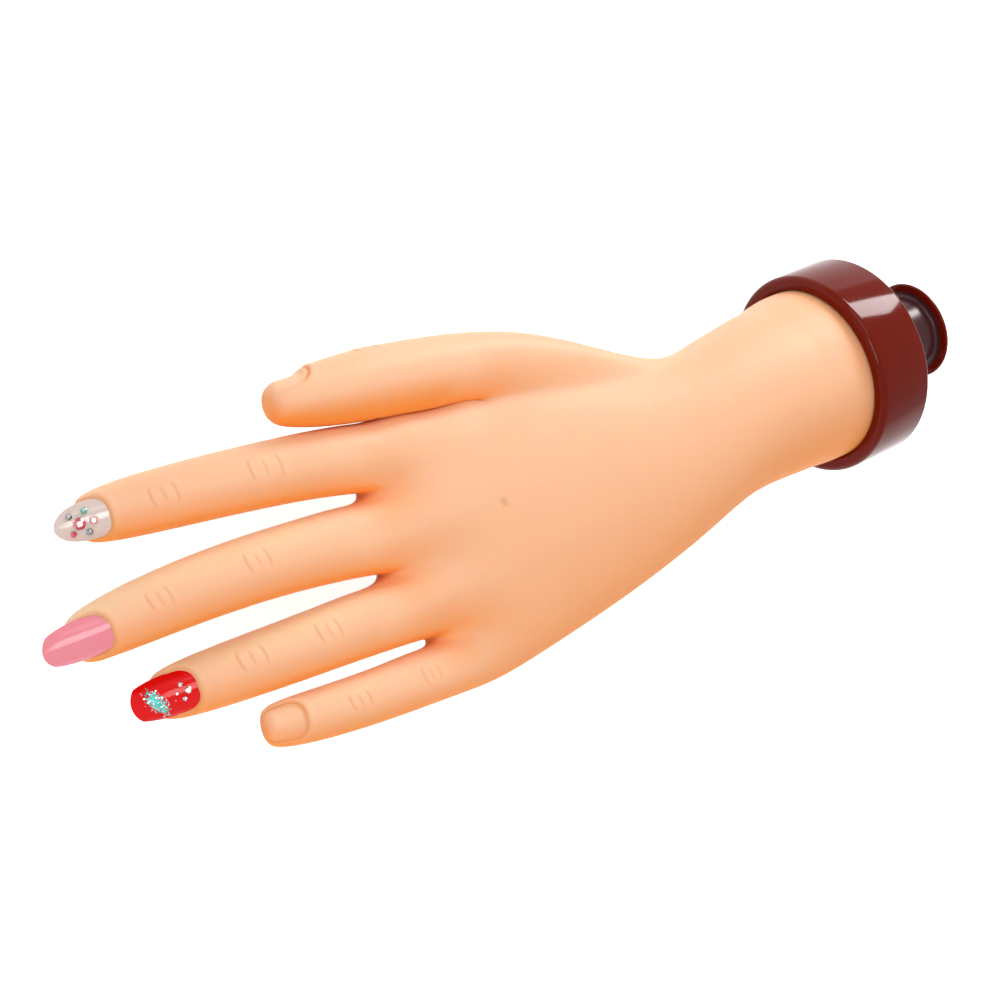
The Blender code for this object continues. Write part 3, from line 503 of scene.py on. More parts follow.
def finished_mesh(bm: Shape, name: str, place: Matrix, sharp_deg: float) -> bpy.types.Mesh:
    """Turns a bmesh into a smooth mesh in the object's frame, with its faces out.

    Args:
        bm: The shape, which is freed.
        name: The mesh's name.
        place: The matrix from the shape's frame to the object's.
        sharp_deg: Edges bent by more than this stay sharp.

    Returns:
        The mesh.
    """
    bmesh.ops.remove_doubles(bm, verts=bm.verts, dist=MERGE_DISTANCE / 10)
    bmesh.ops.recalc_face_normals(bm, faces=bm.faces)
    bmesh.ops.transform(bm, matrix=place, verts=bm.verts)
    mesh = plain_mesh(bm, name)
    mesh.shade_smooth()
    mesh.set_sharp_from_angle(angle=math.radians(sharp_deg))
    return mesh


@dataclass
class Piece:
    """A new piece, with the finish that it gets and the record's slot that the finish stands for."""

    item: bpy.types.Object
    finish: Finish
    slot: Slot


@dataclass
class Assembly:
    """A sub-assembly, which builds its pieces and then dresses them."""

    stand: Matrix
    finishes: Finishes
    pieces: list[Piece] = field(default_factory=list, init=False)

    def add(self, name: str, mesh: bpy.types.Mesh, finish: Finish, slot: Slot) -> bpy.types.Object:
        """Adds a mesh as a piece.

        Args:
            name: The piece's name.
            mesh: Its mesh.
            finish: The finish that it gets.
            slot: The record's slot that the finish stands for.

        Returns:
            The piece's object.
        """
        item = link_object(name, mesh)
        self.pieces.append(Piece(item, finish, slot))
        return item

    def add_rigid(
        self, name: str, mesh: bpy.types.Mesh, finish: Finish, slot: Slot, body: str, node: str | None = None
    ) -> bpy.types.Object:
        """Adds a mesh as a stiff piece that moves with one body.

        Args:
            name: The piece's name.
            mesh: Its mesh.
            finish: The finish that it gets.
            slot: The record's slot that the finish stands for.
            body: The body that it moves with.
            node: The node that it stands for, if there is one.

        Returns:
            The piece's object.
        """
        item = self.add(name, mesh, finish, slot)
        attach(item, body)
        if node is not None:
            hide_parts(node)
        return item

    def build(self) -> None:
        """Builds the pieces."""
        raise NotImplementedError

    def dress(self) -> None:
        """Gives every piece its finish."""
        for piece in self.pieces:
            self.finishes.cover(piece.item, piece.finish)


def frame_at(place: Vector, along: Vector, up: Vector) -> Matrix:
    """Builds a frame.

    Args:
        place: Its origin.
        along: The direction of its x axis.
        up: A direction near its z axis.

    Returns:
        The matrix.
    """
    x_axis = along.normalized()
    y_axis = up.cross(x_axis).normalized()
    turned = Matrix((x_axis, y_axis, x_axis.cross(y_axis))).transposed().to_4x4()
    return Matrix.Translation(place) @ turned


def arc(centre: Span, radius: float, start_deg: float, end_deg: float, steps: int) -> list[Span]:
    """Returns points on an arc of an outline.

    Args:
        centre: The arc's centre, along the axis and out from it.
        radius: The arc's radius.
        start_deg: The first point's angle from the outward direction, turning towards +along.
        end_deg: The last point's angle.
        steps: How many pieces the arc has.

    Returns:
        The points, as (along, out) pairs.
    """
    points = []
    for step in range(steps + 1):
        angle = math.radians(start_deg + (end_deg - start_deg) * step / steps)
        points.append((centre[0] + radius * math.sin(angle), centre[1] + radius * math.cos(angle)))
    return points


def spun(profile: list[Span], frame: Matrix, steps: int) -> Shape:
    """Spins a closed outline round the frame's x axis.

    Args:
        profile: Outline points, as (along, out) pairs.
        frame: Where the axis lies.
        steps: Facets round the axis.

    Returns:
        The shape.
    """
    bm = bmesh.new()
    points = [bm.verts.new((along, 0.0, out)) for along, out in profile]
    edges = [bm.edges.new(pair) for pair in zip(points, points[1:] + points[:1])]
    bmesh.ops.spin(
        bm, geom=points + edges, axis=(1.0, 0.0, 0.0), cent=(0.0, 0.0, 0.0),
        angle=math.tau, steps=steps, use_merge=True,
    )
    bmesh.ops.remove_doubles(bm, verts=bm.verts, dist=MERGE_DISTANCE)
    loose = [edge for edge in bm.edges if not edge.link_faces]
    bmesh.ops.delete(bm, geom=loose, context="EDGES")
    bmesh.ops.recalc_face_normals(bm, faces=bm.faces)
    bmesh.ops.transform(bm, matrix=frame, verts=bm.verts)
    return bm


def carve(body: Shape, cutters: list[Shape]) -> Shape:
    """Cuts shapes out of a shape.

    Args:
        body: The shape to cut, which is freed.
        cutters: The shapes to cut away, which are freed.

    Returns:
        The cut shape.
    """
    items = [link_object("blank", plain_mesh(shape, "blank")) for shape in [body, *cutters]]
    for cutter in items[1:]:
        step = items[0].modifiers.new("cut", "BOOLEAN")
        step.object = cutter
        step.solver = "EXACT"
    graph = bpy.context.evaluated_depsgraph_get()
    result = bmesh.new()
    result.from_object(items[0], graph)
    for item in items:
        bpy.data.objects.remove(item, do_unlink=True)
    return result


def soft_step(values: np.ndarray) -> np.ndarray:
    """Returns a smooth rise from 0 to 1 as the values go from 0 to 1."""
    held = np.clip(values, 0.0, 1.0)
    return held * held * (3.0 - 2.0 * held)


def bell(values: np.ndarray, width: float) -> np.ndarray:
    """Returns a smooth hump of height 1 round 0, of the given half width."""
    return np.exp(-np.square(values / width))


# ---- the skin

@dataclass(frozen=True)
class Knuckle:
    """One set of three creases across the back of a digit; its sizes are in metres."""

    share: float
    spread: float
    across: float
    reach: float = 3.4 * MM
    depth: float = 0.20 * MM


@dataclass(frozen=True)
class DigitSizes:
    """The sizes of one digit, its nail and its creases, in metres and degrees."""

    digit: Digit
    length: float
    width: float
    depth: float
    reach_share: float
    offset_share: float
    drop: float
    yaw_root: float
    yaw_tip: float
    roll: float
    nail_width: float
    nail_length: float
    overhang: float
    nail_yaw: float
    knuckles: tuple[Knuckle, ...]
    fall: float | None = None
    rings: tuple[tuple[float, float, float], ...] = (
        (0.00, 1.00, 1.00), (0.24, 0.97, 0.96), (0.48, 0.95, 0.93),
        (0.70, 0.91, 0.88), (0.86, 0.83, 0.76), (0.965, 0.62, 0.52),
    )


THUMB_RINGS = (
    (0.00, 1.00, 1.00), (0.22, 0.97, 0.98), (0.44, 0.95, 0.97),
    (0.66, 0.92, 0.88), (0.86, 0.82, 0.68), (0.965, 0.60, 0.45),
)
DIGITS = (
    DigitSizes(
        Digit.INDEX, length=0.0604, width=0.0160, depth=0.0154, reach_share=1.057, offset_share=0.674,
        drop=0.0222, yaw_root=9.0, yaw_tip=2.5, roll=-2.0,
        nail_width=0.0098, nail_length=0.0132, overhang=0.0032, nail_yaw=0.0,
        knuckles=(Knuckle(0.242, 3.7 * MM, 2.4 * MM), Knuckle(0.635, 2.9 * MM, 1.9 * MM)),
    ),
    DigitSizes(
        Digit.MIDDLE, length=0.0694, width=0.0168, depth=0.0156, reach_share=1.076, offset_share=0.120,
        drop=0.0226, yaw_root=8.0, yaw_tip=-10.0, roll=-4.0,
        nail_width=0.0100, nail_length=0.0162, overhang=0.0036, nail_yaw=5.0,
        knuckles=(Knuckle(0.3035, 2.7 * MM, 3.3 * MM), Knuckle(0.648, 2.4 * MM, 3.4 * MM)),
    ),
    DigitSizes(
        Digit.RING, length=0.0552, width=0.0158, depth=0.0148, reach_share=1.065, offset_share=-0.442,
        drop=0.0224, yaw_root=1.0, yaw_tip=-1.0, roll=4.0,
        nail_width=0.0102, nail_length=0.0156, overhang=0.0027, nail_yaw=0.0,
        knuckles=(Knuckle(0.19, 2.6 * MM, 2.3 * MM), Knuckle(0.533, 3.0 * MM, 2.7 * MM)),
    ),
    DigitSizes(
        Digit.LITTLE, length=0.0399, width=0.0133, depth=0.0126, reach_share=1.011, offset_share=-0.931,
        drop=0.0210, yaw_root=1.5, yaw_tip=7.5, roll=10.0,
        nail_width=0.0084, nail_length=0.0110, overhang=0.0, nail_yaw=0.0,
        knuckles=(Knuckle(-0.10, 2.3 * MM, 0.2 * MM, 2.6 * MM), Knuckle(0.39, 2.4 * MM, 0.0, 2.6 * MM)),
        fall=0.0098,
    ),
    DigitSizes(
        Digit.THUMB, length=0.0444, width=0.0176, depth=0.0178, reach_share=0.791, offset_share=0.979,
        drop=0.0156, yaw_root=10.0, yaw_tip=5.0, roll=88.0,
        nail_width=0.0118, nail_length=0.0130, overhang=0.0, nail_yaw=0.0,
        knuckles=(Knuckle(0.36, 2.6 * MM, 0.0),), fall=0.0080, rings=THUMB_RINGS,
    ),
)


@dataclass(frozen=True)
class HandSizes:
    """The sizes of the wrist, the palm and the webs, in metres and degrees."""

    collar_radius: float = 0.0260
    collar_length: float = 0.0170
    collar_wall: float = 0.0036
    collar_back_wall: float = 0.0040
    wrist_length: float = 0.0460
    skin_wall: float = 0.0035
    palm_length: float = 0.1315
    palm_width: float = 0.0715
    palm_depth: float = 0.0290
    root_back: float = 0.0150
    table_tilt: float = 5.5
    curl_share: float = 0.45
    web_reach_shares: tuple[float, ...] = (0.951, 0.960, 0.897)
    thumb_web_reach_share: float = 0.721
    thumb_root_bulge: float = 0.0077
    clearance: float = 0.0003
    wrist_rows: tuple[tuple[float, ...], ...] = (
        (0.00, 1.00, 1.00, 0.00, 1.00),
        (0.30, 1.00, 0.97, 0.00, 0.985),
        (0.70, 0.950, 0.865, 0.05, 0.860),
    )
    palm_rows: tuple[tuple[float, ...], ...] = (
        (0.350, 0.747, 0.465, 0.145, 1.190),
        (0.517, 0.930, 0.580, 0.350, 1.090),
        (0.684, 1.066, 0.700, 0.600, 0.995),
        (0.837, 1.165, 0.715, 0.800, 0.875),
    )
    root_depth_share: float = 1.12
    root_width_shares: tuple[float, ...] = (1.06, 1.10, 1.10, 1.16)
    web_dip_share: float = 0.62

    @property
    def skin_radius(self) -> float:
        """The radius of the sleeve of skin inside the collar."""
        return self.collar_radius - self.collar_wall - self.clearance

    @property
    def sleeve_end(self) -> float:
        """How far the sleeve reaches into the collar."""
        return self.collar_length - self.collar_back_wall - self.clearance


HAND = HandSizes()


@dataclass
class DigitLine:
    """The centre line and sections of one digit, from its root hinge to its tip."""

    sizes: DigitSizes
    first_share: float = -0.45
    steps: int = 291
    batch: int = 4096
    hinge: Vector = field(init=False)
    fall: float = field(init=False)

    def __post_init__(self) -> None:
        """Places the hinge, and lets a digit without a fall of its own reach down to the table."""
        sizes = self.sizes
        reach = HAND.palm_length * sizes.reach_share
        offset = HAND.palm_width / 2 * sizes.offset_share
        self.hinge = Vector((-reach, offset, HAND.collar_radius - sizes.drop))
        if sizes.fall is not None:
            self.fall = sizes.fall
            return
        share = (sizes.rings[-2][0] + sizes.rings[-1][0]) / 2
        pad = sizes.depth / 2 * (sizes.rings[-2][2] + sizes.rings[-1][2]) / 2
        reach = sizes.length * share + HAND.collar_length - self.hinge.x
        table = -reach * math.tan(math.radians(HAND.table_tilt))
        self.fall = (self.hinge.z - pad - table) / self.drop_share(share)

    @staticmethod
    def drop_share(share: float) -> float:
        """Returns how much of the digit's fall is reached at a share of its length."""
        return HAND.curl_share * share + (1.0 - HAND.curl_share) * share * abs(share)

    def centre(self, share: float) -> Vector:
        """Finds a point of the centre line.

        Args:
            share: The share of the digit's length.

        Returns:
            The point.
        """
        start = math.tan(math.radians(self.sizes.yaw_root))
        end = math.tan(math.radians(self.sizes.yaw_tip))
        side = start * share + (end - start) * share * abs(share) / 2
        level = math.sqrt(self.sizes.length**2 - self.fall**2)
        return self.hinge + Vector((-level * share, level * side, -self.fall * self.drop_share(share)))

    def axes(self, share: float) -> tuple[Vector, Vector, Vector]:
        """Finds the digit's own directions.

        Args:
            share: The share of the digit's length.

        Returns:
            The directions along the digit, up through its back, and across it.
        """
        step = 1.0 / PALM_SIDES
        along = (self.centre(share + step) - self.centre(share - step)).normalized()
        level_up = (UP - along * UP.dot(along)).normalized()
        back = Matrix.Rotation(math.radians(self.sizes.roll), 3, along) @ level_up
        return along, back, along.cross(back)

    def ring(self, share: float, width_share: float, depth_share: float) -> list[Vector]:
        """Finds the points of one ring of the cage.

        Args:
            share: The share of the digit's length.
            width_share: The ring's width there, as a share of the digit's.
            depth_share: The ring's depth there, as a share of the digit's.

        Returns:
            The points, from the back towards the thumb's side.
        """
        _, back, across = self.axes(share)
        swell = 3.0 / (2.0 + math.cos(math.tau / RING_SIDES))
        points = []
        for step in range(RING_SIDES):
            angle = math.tau * step / RING_SIDES
            depth = back * self.sizes.depth / 2 * depth_share * math.cos(angle)
            width = across * self.sizes.width / 2 * width_share * math.sin(angle)
            points.append(self.centre(share) + (depth + width) * swell)
        return points

    def locate(self, points: np.ndarray) -> tuple[np.ndarray, np.ndarray]:
        """Finds where points lie along and round the digit.

        Args:
            points: Places in the hand's frame, one to a row.

        Returns:
            Shares of the digit's length, and angles round it from its back.
        """
        shares = np.linspace(self.first_share, 1.0, self.steps)
        centres = np.array([self.centre(share) for share in shares])
        axes = np.array([[list(axis) for axis in self.axes(share)] for share in shares])
        nearest = np.empty(len(points), int)
        for start in range(0, len(points), self.batch):
            part = points[start:start + self.batch]
            gaps = np.square(part[:, None, :] - centres[None, :, :]).sum(axis=2)
            nearest[start:start + self.batch] = gaps.argmin(axis=1)
        offset = points - centres[nearest]
        along, back, across = (np.einsum("ij,ij->i", offset, axes[nearest, row]) for row in range(3))
        return shares[nearest] + along / self.sizes.length, np.arctan2(across, back)


@dataclass
class NailSeat:
    """The frame at a digit's cuticle and the arc that its nail follows."""

    line: DigitLine
    arc_share: float = 0.62
    cover: float = 0.7 * MM
    thickness: float = 0.8 * MM
    root: float = 2.0 * MM
    place: Vector = field(init=False)
    along: Vector = field(init=False)
    across: Vector = field(init=False)
    back: Vector = field(init=False)

    def __post_init__(self) -> None:
        """Places the nail's frame on the digit's back."""
        line, sizes = self.line, self.line.sizes
        start = 1.0 - (self.length - sizes.overhang) / sizes.length
        along, self.back, across = line.axes((start + 1.0) / 2)
        turn = Matrix.Rotation(-math.radians(sizes.nail_yaw), 3, self.back)
        self.along, self.across = turn @ along, turn @ across
        depth = float(np.interp(start, [ring[0] for ring in sizes.rings], [ring[2] for ring in sizes.rings]))
        rise = line.axes(start)[1] * sizes.depth / 2 * depth
        self.place = line.centre(start) + rise - self.back * self.cover

    @property
    def length(self) -> float:
        """The nail's length from its cuticle."""
        return self.line.sizes.nail_length

    @property
    def radius(self) -> float:
        """The radius of the nail's arc."""
        return self.line.sizes.nail_width * self.arc_share

    @property
    def half_angle(self) -> float:
        """Half the angle that the nail spans on its arc."""
        return math.asin(1.0 / 2.0 / self.arc_share)

    def outward(self, angle: float) -> Vector:
        """Returns the direction out of the nail at an angle round its arc."""
        return self.back * math.cos(angle) + self.across * math.sin(angle)

    def point(self, distance: float, angle: float, depth: float) -> Vector:
        """Returns a point of the nail: along it, round its arc, and below its outer face."""
        out = self.outward(angle) * (self.radius - depth)
        return self.place - self.back * self.radius + self.along * distance + out

    def locate(self, points: np.ndarray) -> tuple[np.ndarray, np.ndarray, np.ndarray, np.ndarray]:
        """Finds where points lie on the nail.

        Args:
            points: Places in the hand's frame, one to a row.

        Returns:
            Distances along the nail, angles round its arc, radii, and the outward directions.
        """
        offset = points - np.array(self.place - self.back * self.radius)
        along = offset @ np.array(self.along)
        across, back = offset @ np.array(self.across), offset @ np.array(self.back)
        angle = np.arctan2(across, back)
        outward = np.outer(np.cos(angle), np.array(self.back))
        outward += np.outer(np.sin(angle), np.array(self.across))
        return along, angle, np.hypot(across, back), outward


@dataclass(frozen=True)
class TipShape:
    """How one nail tip is rounded, narrowed and bent, how far it spreads and runs on, and its finish."""

    finish: Finish
    slot: Slot
    root_round: float
    tip_round: float
    taper: float
    droop: float
    spread: float
    extra: float
    root_taper: float = 0.10
    taper_power: float = 2.2
    bend_power: int = 3


TIP_SHAPES = {
    Digit.INDEX: TipShape(Finish.NUDE, Slot.NUDE, 0.90, 0.92, 0.24, 0.5 * MM, 1.03, 0.2 * MM),
    Digit.MIDDLE: TipShape(Finish.PINK, Slot.PINK, 0.85, 0.74, 0.06, 0.9 * MM, 1.06, 0.7 * MM),
    Digit.RING: TipShape(Finish.RED, Slot.RED, 0.80, 0.66, 0.04, 0.9 * MM, 1.07, 0.8 * MM),
}


@dataclass(frozen=True)
class CreaseForm:
    """How the creases of every knuckle are pressed: each crease has a place, a weight and a length."""

    creases: tuple[tuple[int, float, float], ...] = ((-1, 1.0, 1.0), (0, 0.8, 0.72), (1, 1.0, 0.95))
    bow_share: float = 0.16
    slant_share: float = 0.14
    fade_start: float = 0.55
    fade_run: float = 0.6
    groove_width: float = 0.30 * MM
    # Painted shade in each crease's groove.
    groove_shade: float = 0.34
    ridge_gap: float = 0.75 * MM
    ridge_width: float = 0.55 * MM
    ridge_height: float = 0.07 * MM
    puff_share: float = 1.3
    puff_height: float = 0.16 * MM
    under_angle: float = 1.0
    under_width: float = 0.5 * MM
    under_depth: float = 0.30 * MM
    # Painted shade in the crease under the knuckle.
    under_shade: float = 0.35

    def press(self, line: DigitLine, share: np.ndarray, angle: np.ndarray) -> tuple[np.ndarray, np.ndarray]:
        """Works out the creases of one digit.

        Args:
            line: The digit.
            share: Where its vertices lie along it.
            angle: Where they lie round it.

        Returns:
            How far each vertex rises, and how much painted crease shade it takes.
        """
        lift, tint = np.zeros(len(share)), np.zeros(len(share))
        for knuckle in line.sizes.knuckles:
            away = (share - knuckle.share) * line.sizes.length
            round_arc = angle * line.sizes.width / 2 - knuckle.across
            slant = self.slant_share * round_arc
            bow = 1.0 - self.bow_share * np.square(round_arc / knuckle.reach)
            for number, weight, size in self.creases:
                run_out = np.abs(round_arc) / knuckle.reach / size - self.fade_start
                fade = 1.0 - soft_step(run_out / self.fade_run)
                offset = away - number * knuckle.spread * bow - slant
                groove = bell(offset, self.groove_width) * fade * weight
                ridge = bell(offset + self.ridge_gap, self.ridge_width) * fade * weight
                lift += ridge * self.ridge_height - groove * knuckle.depth
                # Painted shade in the groove.
                tint += groove * self.groove_shade
            puff = bell(away, knuckle.spread * self.puff_share)
            lift += puff * bell(round_arc, knuckle.reach * self.puff_share) * self.puff_height
            under = bell(np.abs(angle) - math.pi, self.under_angle) * bell(away, self.under_width)
            lift -= under * self.under_depth
            # Painted shade under the knuckle.
            tint += under * self.under_shade
        return lift, tint


@dataclass(frozen=True)
class BedForm:
    """How one kind of nail bed is sunk into its digit, with a groove and a soft fold round it."""

    half_share: float = 0.96
    corner_share: float = 0.80
    sink: float = 0.15 * MM
    sink_slope: float = 0.0
    most_rise: float = 0.35 * MM
    edge: float = 0.55 * MM
    groove_from: float = 0.70
    groove_run: float = 0.35
    ends: bool = True
    end_from: float = 0.85
    end_run: float = 0.45
    groove_offset: float = 0.10 * MM
    groove_width: float = 0.42 * MM
    groove_depth: float = 0.42 * MM
    # Painted shade in the groove round the nail.
    groove_shade: float = 0.80
    fold_offset: float = 1.25 * MM
    fold_width: float = 0.75 * MM
    fold_height: float = 0.20 * MM
    facing_limit: float = 2.4
    most_run: float = 1.2

    @staticmethod
    def outline_distance(along: np.ndarray, side: np.ndarray, half_width: float, corner: float) -> np.ndarray:
        """Returns distances from the outline of a nail that starts at 0 and runs off the tip.

        Args:
            along: Distances along the nail.
            side: Distances from its middle line.
            half_width: Half its width.
            corner: The radius of the two corners at the cuticle.

        Returns:
            Distances, negative inside.
        """
        run_in = corner - along
        run_out = np.abs(side) - (half_width - corner)
        outside = np.hypot(np.maximum(run_in, 0.0), np.maximum(run_out, 0.0))
        return outside + np.minimum(np.maximum(run_in, run_out), 0.0) - corner

    def press(self, seat: NailSeat, part: np.ndarray) -> np.ndarray:
        """Presses the bed into a digit.

        Args:
            seat: The nail's frame.
            part: The digit's vertices, which are moved.

        Returns:
            How much painted shade each vertex takes in the groove round the nail.
        """
        along, angle, radius, outward = seat.locate(part)
        half = seat.half_angle * seat.radius * self.half_share
        gap = self.outline_distance(along, angle * seat.radius, half, half * self.corner_share)
        facing = soft_step(self.facing_limit - np.abs(angle))
        share = along / seat.length
        bed = self.sink + self.sink_slope * np.clip(share, 0.0, self.most_run)
        sunk = np.minimum(seat.radius - bed - radius, self.most_rise)
        inside = soft_step(-gap / self.edge) * facing
        if self.ends:
            inside *= 1.0 - soft_step((share - self.end_from) / self.end_run)
        part += outward * (sunk * inside)[:, None]
        shown = facing * (1.0 - soft_step((share - self.groove_from) / self.groove_run))
        groove = bell(gap - self.groove_offset, self.groove_width) * shown
        fold = bell(gap - self.fold_offset, self.fold_width) * shown
        part += outward * (fold * self.fold_height - groove * self.groove_depth)[:, None]
        # Painted shade in the groove round the nail.
        return groove * self.groove_shade


BARE_BED = BedForm()
THUMB_BED = BedForm(
    sink=0.7 * MM, sink_slope=1.0 * MM, most_rise=0.0, edge=2.6 * MM,
    groove_from=0.06, groove_run=0.26, groove_depth=0.62 * MM, groove_shade=1.2,
)
WORN_BED = BedForm(
    half_share=1.0, sink=0.96 * MM, most_rise=0.0, ends=False, groove_depth=0.22 * MM, groove_shade=0.55
)


@dataclass(frozen=True)
class ToneForm:
    """Where painted shade and painted light go on the skin, and where light goes in; distances in metres."""

    # Painted shade on faces turned away from the lamps' side.
    bright_way: Place = (0.10, 0.75, 0.65)
    dim_below: float = 0.68
    dim_range: float = 0.95
    dim_share: float = 0.94
    # Painted light that lifts the shade on the fingers' sides towards the thumb.
    painted_light_from: float = 0.10
    painted_light_range: float = 0.75
    painted_light_start: float = 128.0 * MM
    painted_light_run: float = 24.0 * MM
    painted_light_shares: tuple[tuple[int, float], ...] = ((2, 0.75), (3, 0.95), (4, 0.45))
    # Painted shade under the thumb and on the palm's side beneath it.
    thumb_start: float = 91.0 * MM
    thumb_run: float = 17.0 * MM
    thumb_below: float = 0.15
    thumb_range: float = 0.95
    thumb_side: float = 24.0 * MM
    # Painted shade on the wrist by the collar's lip.
    collar_gap: float = 0.5 * MM
    collar_run: float = 7.0 * MM
    collar_share: float = 0.35
    # Painted shade in the webs between the fingers, lessened where crease shade is painted.
    web_width: float = 9.0 * MM
    web_share: float = 0.75
    crease_relief: float = 0.5
    seam_gap: float = 1.0 * MM
    seam_run: float = 6.0 * MM
    speck_place: Span = (-102.3 * MM, 0.9 * MM)
    speck_radius: float = 0.50 * MM
    speck_squeeze: float = 0.5
    speck_edge: float = 0.5
    speck_above: float = 10.0 * MM
    speck_share: float = 0.30

    def warmth(self, points: np.ndarray, normals: np.ndarray, owner: np.ndarray) -> np.ndarray:
        """Works out the painted shade: deeper orange on faces turned from the lamps, under the thumb and by
        the collar's lip.

        Args:
            points: The vertices.
            normals: The vertex normals.
            owner: Whose each vertex is, 0 for the palm and 1 to 5 for the digits.

        Returns:
            Shares of the painted shade.
        """
        facing = normals @ np.array(self.bright_way)
        warmth = np.clip((self.dim_below - facing) / self.dim_range, 0.0, 1.0) * self.dim_share
        run = -points[:, 0]
        shade_under_thumb = soft_step((run - self.thumb_start) / self.thumb_run)
        shade_under_thumb *= soft_step((self.thumb_below - normals[:, 1]) / self.thumb_range)
        shade_under_thumb *= (owner == 5) | ((owner == 0) & (points[:, 1] > self.thumb_side))
        shade_by_collar = (1.0 - soft_step((run - self.collar_gap) / self.collar_run)) * self.collar_share
        return np.maximum(np.maximum(warmth, shade_under_thumb), shade_by_collar)

    def pale(self, points: np.ndarray, normals: np.ndarray, owner: np.ndarray) -> np.ndarray:
        """Works out the painted light that lifts the shade on the fingers' sides towards the thumb.

        Args:
            points: The vertices.
            normals: The vertex normals.
            owner: Whose each vertex is, 0 for the palm and 1 to 5 for the digits.

        Returns:
            Shares of the painted light.
        """
        facing = soft_step((normals[:, 1] - self.painted_light_from) / self.painted_light_range)
        pale = facing * soft_step((-points[:, 0] - self.painted_light_start) / self.painted_light_run)
        numbers, shares = zip(*self.painted_light_shares)
        return pale * np.select([owner == number for number in numbers], shares, 0.0)

    def speck(self, points: np.ndarray) -> np.ndarray:
        """Works out the small dark fault of the moulding on the hand's back.

        Args:
            points: The vertices.

        Returns:
            Shares of the fault's colour.
        """
        along, side = (points[:, axis] - self.speck_place[axis] for axis in range(2))
        away = np.hypot(along, side * self.speck_squeeze)
        spot = 1.0 - soft_step(away / self.speck_radius - self.speck_edge)
        return np.where(points[:, 2] > self.speck_above, spot, 0.0) * self.speck_share

    def bleed(self, points: np.ndarray, spot: Vector, facing: Vector) -> np.ndarray:
        """Returns how much light goes in round a seam's plane, where two pieces must look alike."""
        ahead = (points - np.array(spot)) @ np.array(facing)
        return soft_step((np.abs(ahead) - self.seam_gap) / self.seam_run)


